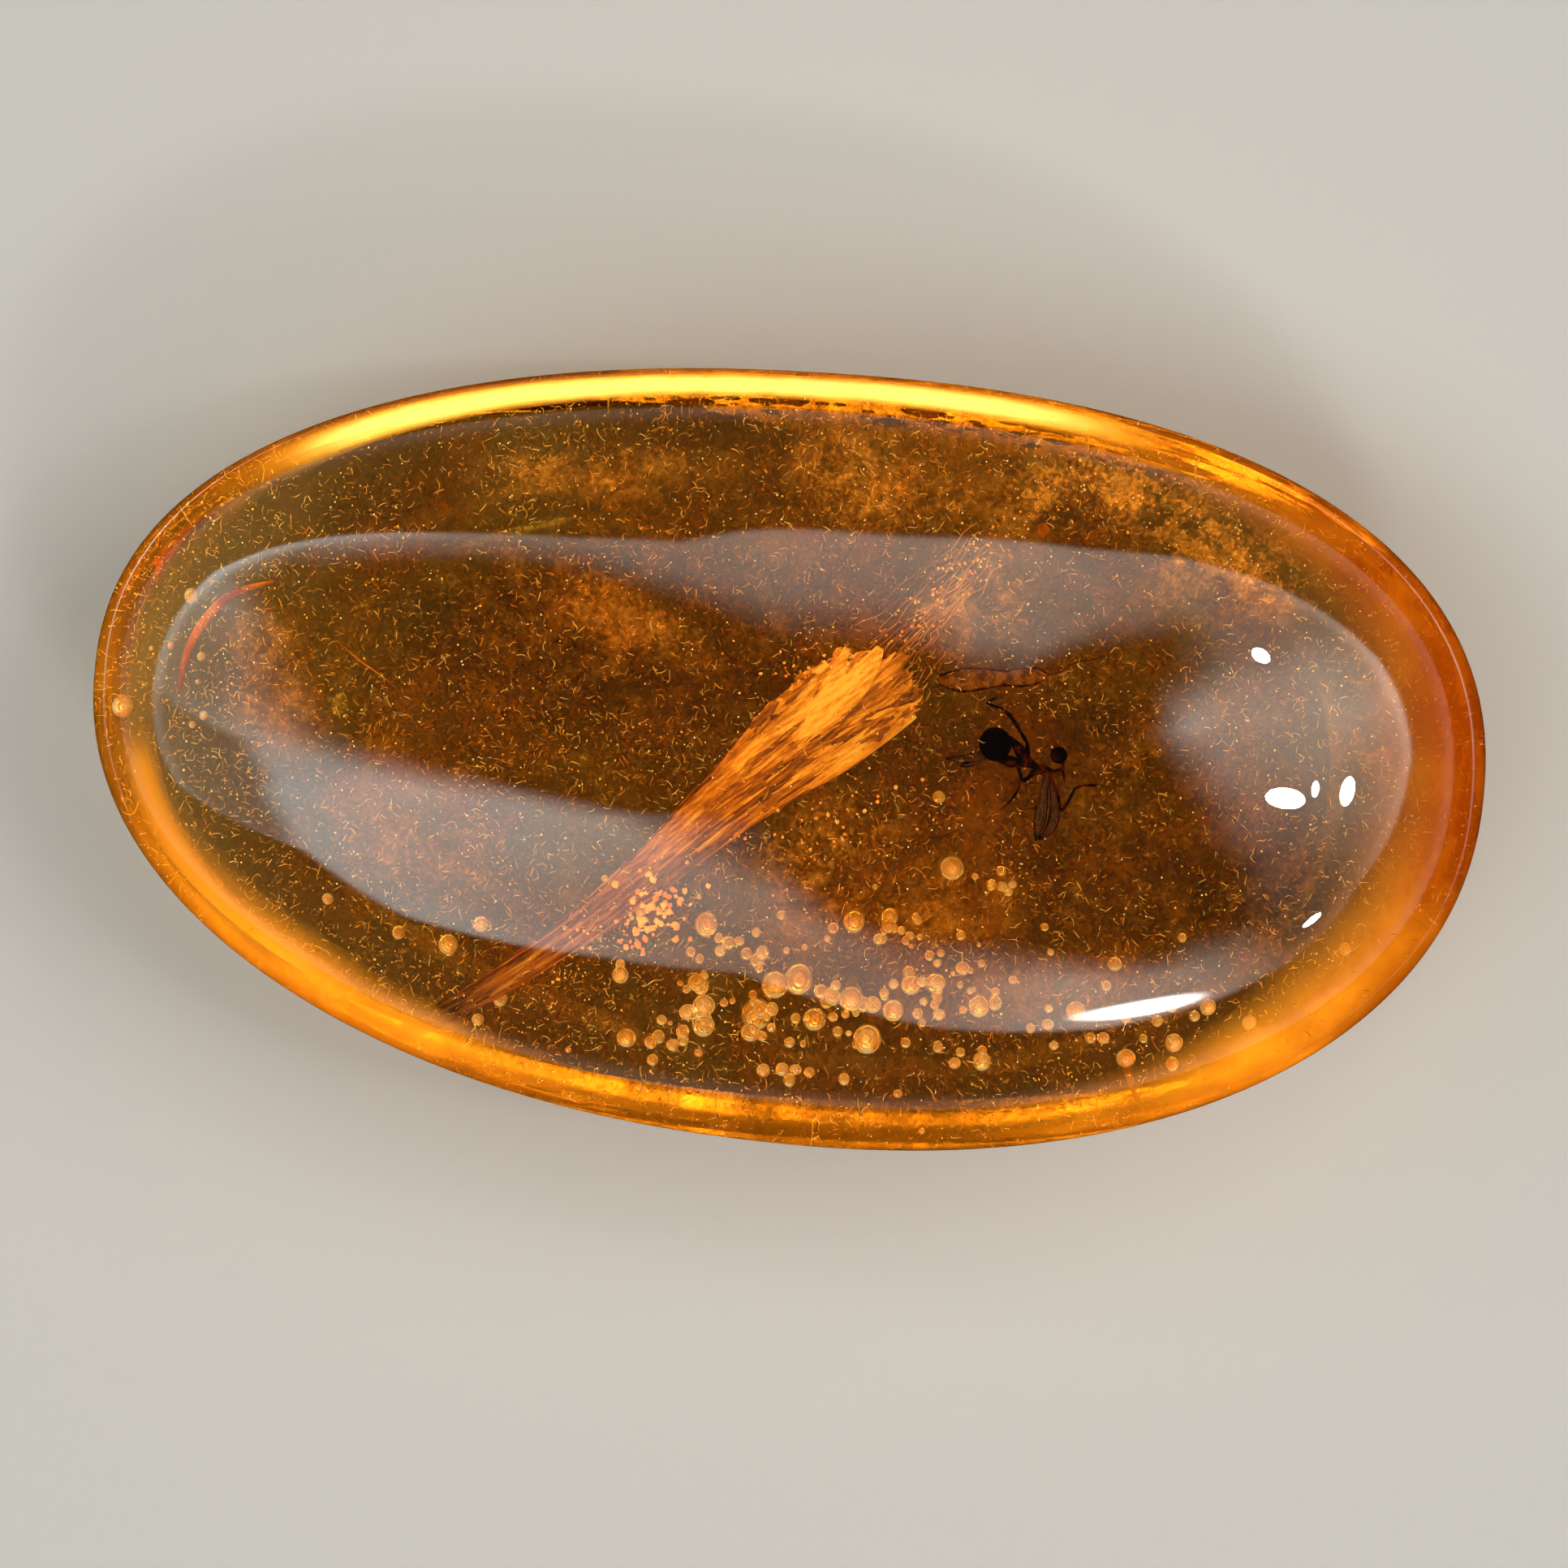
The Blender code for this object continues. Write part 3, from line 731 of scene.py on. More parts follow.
# %% Insect's body
INSECT_NUDGE = Vector((-0.13, -0.06, 0)) * MM
GASTER, HEAD, HEAD_FRONT = Vector((5.36, 0.78, 5.45)), (6.95, 0.66, 5.45), Vector((6.98, 0.7, 5.47))
insect_random = random.Random(5)
bm = bmesh.new()
add_ball(bm, GASTER, (0.41, 0.41, 0.37), 4)
add_ball(bm, HEAD, (0.225, 0.21, 0.18), 3)
add_ball(bm, (7.06, 0.72, 5.56), (0.085, 0.075, 0.07), 2)
BODY = ((5.3, 0.52, 5.4, 0.1, 0.08), (5.55, 0.42, 5.4, 0.09, 0.09), (5.76, 0.4, 5.41, 0.15, 0.13),
        (5.95, 0.4, 5.42, 0.12, 0.12), (6.1, 0.44, 5.44, 0.17, 0.16), (6.28, 0.4, 5.43, 0.12, 0.12),
        (6.45, 0.33, 5.42, 0.07, 0.08), (6.62, 0.3, 5.42, 0.1, 0.09), (6.85, 0.26, 5.42, 0.055, 0.05),
        (7.06, 0.36, 5.43, 0.05, 0.05), (7.02, 0.6, 5.45, 0.045, 0.05))
HUMP = ((5.7, 0.98, 5.42, 0.05, 0.05), (5.9, 0.78, 5.46, 0.12, 0.09), (6.06, 0.6, 5.47, 0.16, 0.12),
        (6.2, 0.46, 5.45, 0.1, 0.1))
LEFT_LOBES = (
    ((5.2, 0.55, 5.42, 0.08, 0.05), (4.82, 0.4, 5.4, 0.1, 0.03), (4.45, 0.34, 5.38, 0.07, 0.02),
     (4.16, 0.32, 5.37, 0.015, 0.01)),
    ((5.18, 0.52, 5.38, 0.07, 0.05), (4.86, 0.29, 5.34, 0.08, 0.03), (4.54, 0.17, 5.32, 0.015, 0.01)),
)
for rows in (BODY, HUMP):
    add_loft(bm, smooth_rows(rows, 5), 14)
print("body segments:", len(BODY))

# %% Insect's legs
LEGS = {
    "raised": ((6.2, 0.52, 5.46, 0.05), (6.14, 0.89, 5.6, 0.036), (5.96, 1.13, 5.7, 0.03),
               (5.71, 1.45, 5.8, 0.04), (5.48, 1.63, 5.85, 0.02), (5.06, 1.74, 5.88, 0.026),
               (5.31, 1.92, 5.9, 0.012)),
    "bent": ((6.45, 0.36, 5.4, 0.045), (6.19, -0.04, 5.28, 0.034), (6.05, 0.01, 5.22, 0.03),
             (6.02, -0.27, 5.16, 0.022), (5.89, -0.5, 5.12, 0.026), (5.69, -0.73, 5.1, 0.012)),
    "far": ((6.7, 0.27, 5.4, 0.04), (6.98, -0.22, 5.3, 0.03), (7.12, -0.68, 5.18, 0.024),
            (7.27, -0.44, 5.14, 0.03), (7.42, -0.08, 5.12, 0.02), (7.62, 0.0, 5.1, 0.026),
            (8.08, 0.05, 5.08, 0.01)),
    "jaw": ((7.05, 0.42, 5.38, 0.036), (7.1, 0.22, 5.32, 0.026), (7.17, -0.02, 5.28, 0.01)),
    "crook": ((5.98, 0.4, 5.38, 0.05), (6.02, 0.16, 5.3, 0.034), (6.1, 0.0, 5.24, 0.026),
              (6.36, 0.1, 5.24, 0.022), (6.52, 0.3, 5.3, 0.03)),
}
SPINES_PER_LEG, SPINE_LENGTH = 9, 0.07
STEPS_PER_SEGMENT = 6


def leg_rows(joints):
    """Rows between joints, thick in the middle of each segment and pinched at the joint."""
    rows = []
    for here, there in zip(joints, joints[1:]):
        for step in range(STEPS_PER_SEGMENT):
            t = step / STEPS_PER_SEGMENT
            x, y, z, radius = (a + (b - a) * t for a, b in zip(here, there))
            swollen = radius * (0.95 + 0.6 * math.sin(math.pi * t))
            rows.append((x, y, z, swollen, swollen))
    return rows + [(*joints[-1], joints[-1][3])]


for joints in LEGS.values():
    rows = leg_rows(joints)
    add_loft(bm, rows, 8)
    for _ in range(SPINES_PER_LEG):
        x, y, z, thick, _ = insect_random.choice(rows[3:-1])
        lean = Vector([insect_random.gauss(0, 1) for _ in range(3)]).normalized() * (thick + SPINE_LENGTH)
        add_loft(bm, ((x, y, z, 0.006, 0.006), (x + lean.x, y + lean.y, z + lean.z, 0.002, 0.002)), 3)
print("legs and jaw:", len(LEGS))


# %% Insect's finish
def chitin_material():
    material, start = new_material("dark_chitin")
    place = start.place()
    gaster, head = (place.vector_maths("DISTANCE", spot * MM + INSECT_NUDGE, "Value") / MM
                    for spot in (GASTER, HEAD_FRONT))
    outside = gaster.step(0.4, 0.55) * head.step(0.16, 0.34)
    red = place.lumps(0.35, 4).step(0.46, 0.62) * outside
    finish_principled(start, {
        "Base Color": red.mix((0.0015, 0.0005, 0.0003, 1), (0.075, 0.01, 0.003, 1)), "Roughness": 0.35,
        "Specular IOR Level": 0.01, "Normal": place.lumps(0.05, 3).bump(0.5, 0.01)})
    return material


chitin = chitin_material()
bmesh.ops.translate(bm, vec=INSECT_NUDGE, verts=bm.verts)
insect = add_piece(bm, "insect_body", chitin)
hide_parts("insect")

# %% [markdown]
# A wing is a film with veins. The film is a flat loft with an Alpha below one, in a red-brown that darkens
# what lies behind it, and the veins are thin tubes fanned out from its root.

# %% Wings and lobes
WINGS = (
    ((6.7, 0.26, 5.44, 0.05, 0.018), (6.66, -0.25, 5.4, 0.1, 0.014), (6.62, -0.8, 5.34, 0.15, 0.012),
     (6.58, -1.18, 5.28, 0.1, 0.012), (6.56, -1.42, 5.24, 0.015, 0.01)),
    ((6.76, 0.22, 5.36, 0.05, 0.018), (6.92, -0.35, 5.28, 0.09, 0.014), (6.95, -0.85, 5.2, 0.13, 0.012),
     (6.82, -1.2, 5.14, 0.1, 0.012), (6.62, -1.38, 5.12, 0.015, 0.01)),
)
VEINS_ACROSS = (-0.98, -0.45, 0.1, 0.55, 0.98)


def film_material():
    material, start = new_material("wing_film")
    colour = start.place().lumps(0.2, 3).step(0.35, 0.7).mix((0.016, 0.003, 0.001, 1), (0.1, 0.014, 0.003, 1))
    alpha = start.place().lumps(0.12, 3).step(0.3, 0.7) * 0.3 + 0.6
    finish_principled(start, {"Base Color": colour, "Roughness": 0.35, "Alpha": alpha})
    return material


film = bmesh.new()
veins = bmesh.new()
for wing in WINGS + LEFT_LOBES:
    rows = smooth_rows(wing, 5)
    add_loft(film, rows, 10)
    for across in VEINS_ACROSS:
        vein = []
        for index, row in enumerate(rows):
            side = side_of(rows[min(index + 1, len(rows) - 1)][:3] - rows[max(index - 1, 0)][:3])
            vein.append((*(Vector(row[:3]) + side * (across * row[3])), 0.011, 0.014))
        add_loft(veins, vein, 5)
for part in (film, veins):
    bmesh.ops.translate(part, vec=INSECT_NUDGE, verts=part.verts)
add_piece(film, "wing_film", film_material())
add_piece(veins, "wing_veins", chitin)

# %% [markdown]
# The seed husk is an empty papery pod on a flat stalk. It is a closed loft in a thin brown film, with a
# darker rim and a hair from its tip, which bends away to the side.

# %% Seed husk
HUSK = ((3.7, 2.12, 5.62, 0.1, 0.03), (4.25, 2.16, 5.66, 0.27, 0.06), (4.8, 2.24, 5.7, 0.24, 0.06),
        (5.3, 2.3, 5.72, 0.17, 0.06), (5.75, 2.36, 5.74, 0.21, 0.1), (6.1, 2.42, 5.75, 0.18, 0.09),
        (6.36, 2.46, 5.76, 0.04, 0.03))
HUSK_HAIR = ((6.36, 2.46, 5.76, 0.022, 0.022), (6.7, 2.58, 5.78, 0.014, 0.014),
             (7.0, 2.8, 5.8, 0.016, 0.016), (7.35, 2.9, 5.8, 0.01, 0.01),
             (7.72, 3.02, 5.8, 0.006, 0.006))
RIM_RADIUS = 0.032


def husk_material(name, thin, dark, pale):
    material, start = new_material(name)
    pores = start.place().lumps(0.22, 3)
    finish_sealed(start, pores.step(0.38, 0.62).mix(dark, pale), 0.5, alpha=pores.step(0.35, 0.65) * 0.3 + thin)
    return material


bm = bmesh.new()
husk_rows = smooth_rows(HUSK, 6)
add_loft(bm, husk_rows, 16)
paper = husk_material("papery_husk", 0.3, (0.16, 0.05, 0.012, 1), (0.36, 0.16, 0.05, 1))
husk = add_piece(bm, "papery_husk", paper)
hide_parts("seed_husk")
bm = bmesh.new()
for side in (-1, 1):
    edge = [(x, y + side * width * 0.98, z, RIM_RADIUS, RIM_RADIUS) for x, y, z, width, _ in husk_rows]
    add_loft(bm, edge, 5)
add_loft(bm, smooth_rows(HUSK_HAIR, 5), 5)
rim = husk_material("husk_rim", 0.7, (0.02, 0.005, 0.002, 1), (0.07, 0.02, 0.007, 1))
add_piece(bm, "husk_rim", rim)

# %% [markdown]
# Bubbles of gas lie in clusters, mostly along the lower side. A bubble in amber is a small lens of air: its
# edge mirrors the light by total reflection. The refractive index is therefore that of air seen from
# amber, below one. Some bubbles hold a smaller one, and all are slightly flattened.

# %% Bubbles
LARGE_BUBBLES = (   # seen at x and y, and the radius
    (-17.2, -0.2, 0.27), (-15.7, 2.8, 0.19), (-11.5, -4.7, 0.15), (-9.6, -5.4, 0.17), (-8.3, -5.6, 0.25),
    (-7.5, -5.0, 0.21), (-3.8, -6.0, 0.21), (-3.5, -7.6, 0.25), (-1.7, -4.5, 0.29), (-1.7, -6.1, 0.21),
    (-0.2, -6.7, 0.38), (0.2, -5.9, 0.34), (0.8, -5.7, 0.36), (1.3, -6.7, 0.29), (2.2, -6.1, 0.31),
    (2.7, -7.1, 0.36), (2.1, -4.1, 0.27), (3.0, -3.9, 0.22), (3.3, -6.3, 0.27), (3.7, -5.6, 0.25),
    (4.3, -5.5, 0.23), (4.5, -2.5, 0.31), (4.0, -0.7, 0.17), (5.5, -6.0, 0.27), (5.7, -7.4, 0.23),
    (8.0, -5.9, 0.25), (8.9, -4.6, 0.19), (9.4, -7.0, 0.25), (10.6, -6.5, 0.23), (11.4, -5.5, 0.21),
    (12.5, -5.8, 0.19), (14.8, -3.7, 0.17),
)
BUBBLE_CLUSTERS = (   # seen at x and y, spread along and across, count, smallest and largest radius
    (-1.8, -6.7, 0.45, 0.45, 8, 0.17, 0.3), (-0.2, -6.7, 0.4, 0.4, 5, 0.15, 0.28),
    (-7.3, -7.0, 0.45, 0.3, 4, 0.15, 0.19), (-1.0, -4.9, 1.0, 0.3, 8, 0.12, 0.2),
    (1.8, -6.3, 0.9, 0.45, 8, 0.12, 0.22), (0.5, -8.1, 1.0, 0.2, 5, 0.14, 0.18),
    (4.2, -5.6, 1.3, 0.55, 9, 0.1, 0.2), (2.6, -4.0, 1.3, 0.5, 7, 0.1, 0.17),
    (10.2, -6.0, 1.9, 1.0, 9, 0.09, 0.17), (-2.8, -7.6, 0.9, 0.6, 6, 0.11, 0.19),
    (5.5, -3.0, 1.0, 0.6, 6, 0.1, 0.15), (1.5, -5.6, 7.0, 2.4, 64, 0.06, 0.13),
    (4.0, -6.6, 5.0, 1.6, 24, 0.09, 0.16), (-15.6, 0.9, 0.6, 1.6, 6, 0.07, 0.13),
)
BUBBLE_DEPTHS = (4.2, 7.2)
BUBBLE_MARGIN = 1.6            # least depth under the surface, in radii
NESTED_FROM, NESTED_SIZE, NESTED_SHIFT = 0.2, 0.62, 0.1
bubble_random = random.Random(21)


def bubble_material():
    material, start = new_material("gas_bubble")
    colour = start.place().lumps(0.5, 1).step(0.35, 0.65).mix((0.9, 0.42, 0.06, 1), (1.0, 0.68, 0.22, 1))
    # The faint gold glow of the bubbles is painted light.
    finish_principled(start, {
        "Base Color": colour, "Transmission Weight": 0.92, "IOR": 1 / AMBER_IOR, "Roughness": 0.0,
        "Emission Color": colour, "Emission Strength": 0.16})
    return material


def add_bubble(bm, x, y, radius, nested=False):
    centre = sealed_place(x, y, bubble_random.uniform(*BUBBLE_DEPTHS))
    low, high = stone_span(centre.x, centre.y)
    margin = BUBBLE_MARGIN * radius * MM
    centre.z = min(max(centre.z, low + margin), high - margin)
    flat = bubble_random.uniform(0.8, 1.0)
    add_ball(bm, centre / MM, (radius, radius * bubble_random.uniform(0.9, 1.05), radius * flat), 3)
    if nested:
        shift = radius * NESTED_SHIFT
        add_ball(bm, centre / MM + Vector((shift, -shift, 0)), [radius * NESTED_SIZE] * 3, 2)


bm = bmesh.new()
for x, y, radius in LARGE_BUBBLES:
    add_bubble(bm, x, y, radius, nested=radius > NESTED_FROM)
for x, y, along, across, count, smallest, largest in BUBBLE_CLUSTERS:
    for _ in range(count):
        add_bubble(bm, bubble_random.gauss(x, along * 0.6), bubble_random.gauss(y, across * 0.6),
                   bubble_random.uniform(smallest, largest))
add_piece(bm, "gas_bubbles", bubble_material())

# %% [markdown]
# The whole stone is full of fine golden dust: short curled plant hairs and crumbs. There are thousands, so
# each kind is one small template with a few dozen faces, copied by a matrix. Real dust is clumped, so a
# place is kept only with a chance that follows a slow noise, and the lower left side holds most.

# %% Dust places
CLEAR_PLACE, CLEAR_RADIUS = (6.2 * MM, 0.2 * MM, 5.1 * MM), 1.5 * MM
DUST_REACH, DUST_MARGIN = 0.975, 0.25 * MM
dust_random = random.Random(36)
LOWER_LEFT_BONUS, LEFT_RIM_BONUS, LEFT_RIM_X = 0.22, 0.35, -0.01


def random_spot():
    """Random place inside the stone that keeps clear of its surface and favours the clumps."""
    while True:
        x = dust_random.uniform(-HALF_LENGTH, HALF_LENGTH)
        y = dust_random.uniform(-1.04 * HALF_WIDTH, 1.04 * HALF_WIDTH)
        low, high = stone_span(x, y)
        if high - low < 6 * DUST_MARGIN or reach_at(x, y) > DUST_REACH:
            continue
        z = dust_random.uniform(low + DUST_MARGIN, high - DUST_MARGIN)
        if math.hypot(x - CLEAR_PLACE[0], y - CLEAR_PLACE[1]) < CLEAR_RADIUS and z > CLEAR_PLACE[2]:
            continue
        clump = 0.5 + lumpiness(Vector((x, y, z * 1.5)) / (2.6 * MM), 0.7, 4)
        lower_left = LOWER_LEFT_BONUS if x < 0.0 and y < -0.25 * x else 0.0
        if dust_random.random() < clump + lower_left:
            return Vector((x, y, z))


def random_matrix(place, size):
    """Put a copy at a place with a random turn. The size is a function that draws a number."""
    axis = Vector([dust_random.gauss(0, 1) for _ in range(3)]).normalized()
    turn = Matrix.Rotation(dust_random.uniform(0, 2 * math.pi), 4, axis)
    return Matrix.Translation(place) @ turn @ Matrix.Scale(size(), 4)


def add_scattered(name, templates, matrices, material):
    """Make one piece from a copy of one of the templates for each matrix."""
    bm = bmesh.new()
    rests = []
    for template in templates:
        rest = np.empty(len(template.vertices) * 3, np.float32)
        template.vertices.foreach_get("co", rest)
        rests.append(rest.reshape(-1, 3))
    for matrix in matrices:
        choice = dust_random.randrange(len(templates))
        turn, shift = np.array(matrix.to_3x3()), np.array(matrix.translation)
        templates[choice].vertices.foreach_set("co", (rests[choice] @ turn.T + shift).ravel())
        bm.from_mesh(templates[choice])
    for template, rest in zip(templates, rests):
        template.vertices.foreach_set("co", rest.ravel())
    add_piece(bm, name, material)


# %% Curled hairs and crumbs
HAIR_LENGTH, HAIR_RADIUS, HAIR_TAPER = 0.23, 0.0052, (1.0, 1.2, 1.0, 0.4)
HAIR_BATCHES, HAIRS_PER_BATCH, RIM_HAIRS = 2, 9400, 2200
CRUMB_COUNT, GLINT_COUNT = 3400, 1600


def hair_template(seed):
    """Short curled hair, in millimetres, that starts at the origin."""
    rng = random.Random(seed)
    place, heading = Vector((0, 0, 0)), Vector((1, 0, 0))
    rows = []
    for share in HAIR_TAPER:
        rows.append((*place, HAIR_RADIUS * share, HAIR_RADIUS * share))
        heading = (heading + Vector((0, rng.gauss(0, 0.7), rng.gauss(0, 0.3)))).normalized()
        place = place + heading * (HAIR_LENGTH / (len(HAIR_TAPER) - 1))
    return loft_mesh(rows, 3)


def crumb_template(seed):
    """Irregular grain about 0.03 mm across."""
    rng = random.Random(seed)
    bm = bmesh.new()
    bmesh.ops.create_icosphere(bm, subdivisions=1, radius=0.016 * MM)
    for vert in bm.verts:
        vert.co *= rng.uniform(0.6, 1.5)
    return new_mesh(bm, "crumb")


# The glow given here is painted light, standing in for the light that small sealed things scatter.
def dust_material(name, dark, pale, glow):
    material, start = new_material(name)
    finish_sealed(start, start.place().lumps(0.8, 1).step(0.36, 0.64).mix(dark, pale), 0.5, glow)
    return material


def dust_matrices(count, size):
    return [random_matrix(random_spot(), size) for _ in range(count)]


hairs = [hair_template(seed) for seed in range(9)]
crumbs = [crumb_template(seed) for seed in range(4)]
golden = dust_material("golden_hair", (0.6, 0.26, 0.02, 1), (1.0, 0.7, 0.18, 1), 0.55)
for batch in range(1, HAIR_BATCHES + 1):
    matrices = dust_matrices(HAIRS_PER_BATCH, lambda: 0.28 + 0.95 * dust_random.random() ** 2)
    add_scattered(f"golden_hairs_{batch}", hairs, matrices, golden)
matrices = []
while len(matrices) < RIM_HAIRS:
    x, y = outline_place(dust_random.uniform(-math.pi, math.pi), dust_random.uniform(0.74, DUST_REACH))
    low, high = stone_span(x, y)
    place = Vector((x, y, high - dust_random.uniform(0.2, 1.3) * MM))
    chance = 0.5 + lumpiness(place / (1.3 * MM), 0.7, 4) + (LEFT_RIM_BONUS if x < LEFT_RIM_X else 0.0)
    if place.z > low + 0.3 * MM and dust_random.random() < chance:
        matrices.append(random_matrix(place, lambda: 0.3 + 0.8 * dust_random.random() ** 2))
add_scattered("rim_hairs", hairs + crumbs, matrices, golden)
matrices = dust_matrices(CRUMB_COUNT, lambda: dust_random.uniform(0.5, 1.7))
add_scattered("golden_crumbs", crumbs, matrices, golden)
# The glints are crumbs with a strong pale glow: painted glints of light.
glint = dust_material("painted_glint", (1.0, 0.75, 0.3, 1), (1.0, 0.95, 0.7, 1), 1.6)
add_scattered("bright_glints", crumbs, dust_matrices(GLINT_COUNT, lambda: dust_random.uniform(0.4, 1.0)), glint)

# %% [markdown]
# Behind the dust the amber is cloudy: brown and olive mottling deep in the stone, and a few orange veils.
# Each is a thin curved sheet that follows the stone's own form at some share of its depth, with a noise
# in its Alpha. A "fade" value on its points lets the sheet thin out towards its edge.

# %% Clouds
CLOUD_GRID, VEIL_GRID = (72, 44), (22, 18)


def disc_grid(columns, rows):
    """Grid bent into a unit disc."""
    bm = bmesh.new()
    bmesh.ops.create_grid(bm, x_segments=columns, y_segments=rows, size=1.0)
    for vert in bm.verts:
        u, v = vert.co.x, vert.co.y
        vert.co = (u * math.sqrt(1 - v * v / 2), v * math.sqrt(1 - u * u / 2), 0)
    return bm


def cloud_material(name, dark, pale, lump, cover, most, glow=0.0):
    """Noise-edged film: two colours, size of its lumps in mm, how much it covers, its Alpha, and a painted
    glow.
    """
    material, start = new_material(name)
    place = start.place()
    large = place.lumps(lump, 2, 0.6, 0.6)
    small = place.lumps(lump * 0.16, 2, 0.65)
    grain = place.lumps(0.12, 1)
    colour = (large * 0.4 + small * 0.3 + grain * 0.3).step(0.34, 0.66).mix(dark, pale)
    alpha = (large * 0.45 + small * 0.3 + grain * 0.25).step(cover, cover + 0.34)
    finish_sealed(start, colour, 0.7, glow, alpha * start.attribute("fade") * most)
    return material


def add_cloud(name, level, reach, material):
    """Sheet across the whole stone, at a share of its depth."""
    bm = disc_grid(*CLOUD_GRID)
    fade = bm.verts.layers.float.new("fade")
    for vert in bm.verts:
        distance = vert.co.length
        x, y = outline_place(math.atan2(vert.co.y, vert.co.x), distance * reach)
        low, high = stone_span(x, y)
        ripple = lumpiness(Vector((x, y, level * 0.02)) / (3 * MM)) * 0.06
        vert.co = (x, y, low + (level + ripple * (1 - distance)) * (high - low))
        vert[fade] = min(1.0, 5 * (1 - distance))
    add_piece(bm, name, material)


OLIVE, RUST = (0.042, 0.043, 0.003, 1), (0.36, 0.19, 0.01, 1)
add_cloud("deep_clouds", 0.13, 0.84, cloud_material("deep_cloud", OLIVE, RUST, 3.4, 0.3, 0.8))
# The middle clouds glow faintly: painted light.
add_cloud("middle_clouds", 0.42, 0.8,
          cloud_material("middle_cloud", (0.22, 0.115, 0.006, 1), (0.66, 0.39, 0.04, 1), 2.4, 0.44, 0.44, 0.03))

# %% [markdown]
# The orange veils and the dark olive sheets are local: each is one bent disc, placed where it is seen, and each
# kind is one joined piece. The veils glow a little, which is painted light, and the dark sheets are painted
# shade that darkens the stone where they lie.

# %% Veils
VEIL_MARGIN = 0.2 * MM
VEILS = (   # seen at x and y, half length, half width, turn in degrees, height, strength
    (1.2, 7.3, 2.1, 1.5, -8, 6.4, 1.0), (7.2, 7.4, 3.4, 1.4, 4, 6.0, 1.3),
    (10.6, 6.4, 3.6, 1.6, -24, 6.0, 1.35), (15.0, 2.6, 1.3, 2.6, 14, 4.8, 0.7),
    (2.6, 7.0, 2.4, 1.1, 4, 5.4, 0.9), (-5.6, 6.9, 3.8, 0.9, 6, 6.2, 0.7),
    (1.3, -2.0, 2.6, 1.5, 30, 6.6, 0.75), (4.6, 4.6, 1.7, 2.6, -35, 6.8, 0.6),
    (-13.6, 0.8, 1.5, 2.3, 18, 5.4, 0.6), (3.0, -3.6, 5.2, 1.4, 8, 4.6, 0.6),
    (10.5, 5.2, 2.6, 1.7, -25, 5.8, 0.55), (-5.0, 3.4, 3.6, 1.2, -24, 5.0, 0.6),
    (7.4, -5.2, 3.6, 1.1, 12, 4.2, 0.45), (-9.5, -3.2, 3.0, 1.5, -30, 4.4, 0.5),
    (13.2, -2.8, 1.6, 2.4, -20, 4.6, 0.5),
)
# Dark sheets of painted shade, in the same columns as the veils.
PAINTED_SHADES = (
    (-7.3, 2.4, 4.4, 1.9, -16, 3.2, 0.9), (12.5, -2.3, 2.2, 1.8, 30, 3.0, 0.9),
    (9.0, -2.6, 3.4, 1.6, -10, 3.0, 0.7), (7.2, 0.7, 3.6, 1.9, 0, 3.2, 0.8),
    (-2.6, 7.9, 3.4, 1.0, 3, 3.6, 0.3), (-10.8, 6.0, 2.6, 1.2, 25, 3.4, 0.7),
    (-2.0, 1.8, 3.0, 1.6, -20, 3.2, 0.5), (11.5, 2.6, 2.0, 1.4, -40, 3.2, 0.5),
)


def add_veils(name, rows, material):
    """Join one bent disc for each row."""
    joined = bmesh.new()
    joined.verts.layers.float.new("fade")
    for x, y, half_length, half_width, turn, height, strength in rows:
        bm = disc_grid(*VEIL_GRID)
        layer = bm.verts.layers.float.new("fade")
        rotation = Matrix.Rotation(math.radians(turn), 3, "Z")
        for vert in bm.verts:
            distance = vert.co.length
            flat = rotation @ Vector((vert.co.x * half_length, vert.co.y * half_width, 0))
            bend = lumpiness(Vector((x + flat.x, y + flat.y, height)) / 1.6) * 0.5
            place = sealed_place(x + flat.x * 0.98, y + flat.y * 0.98, height + bend)
            low, high = stone_span(place.x, place.y)
            place.z = min(max(place.z, low + VEIL_MARGIN), high - VEIL_MARGIN)
            vert.co = place
            vert[layer] = strength * min(1.0, 2.2 * (1 - distance))
        join(joined, new_mesh(bm, "veil"))
    add_piece(joined, name, material)


add_veils("orange_veils", VEILS,
          cloud_material("orange_veil", (0.62, 0.22, 0.012, 1), (1.0, 0.5, 0.08, 1), 1.6, 0.4, 0.8, 0.14))
add_veils("painted_shade_sheets", PAINTED_SHADES,
          cloud_material("painted_shade_film", (0.012, 0.012, 0.001, 1), (0.06, 0.045, 0.003, 1), 2.0, 0.32, 0.7))

# %% [markdown]
# Light has too long a way to go to reach the two ends and the lower left side, so the low strips can't make
# the rim glow there. A thin rind just under the surface stands in for it: the upper part of the pebble, set
# inwards, which shows only close to the outline and only at the compass angles where the rim is bright.

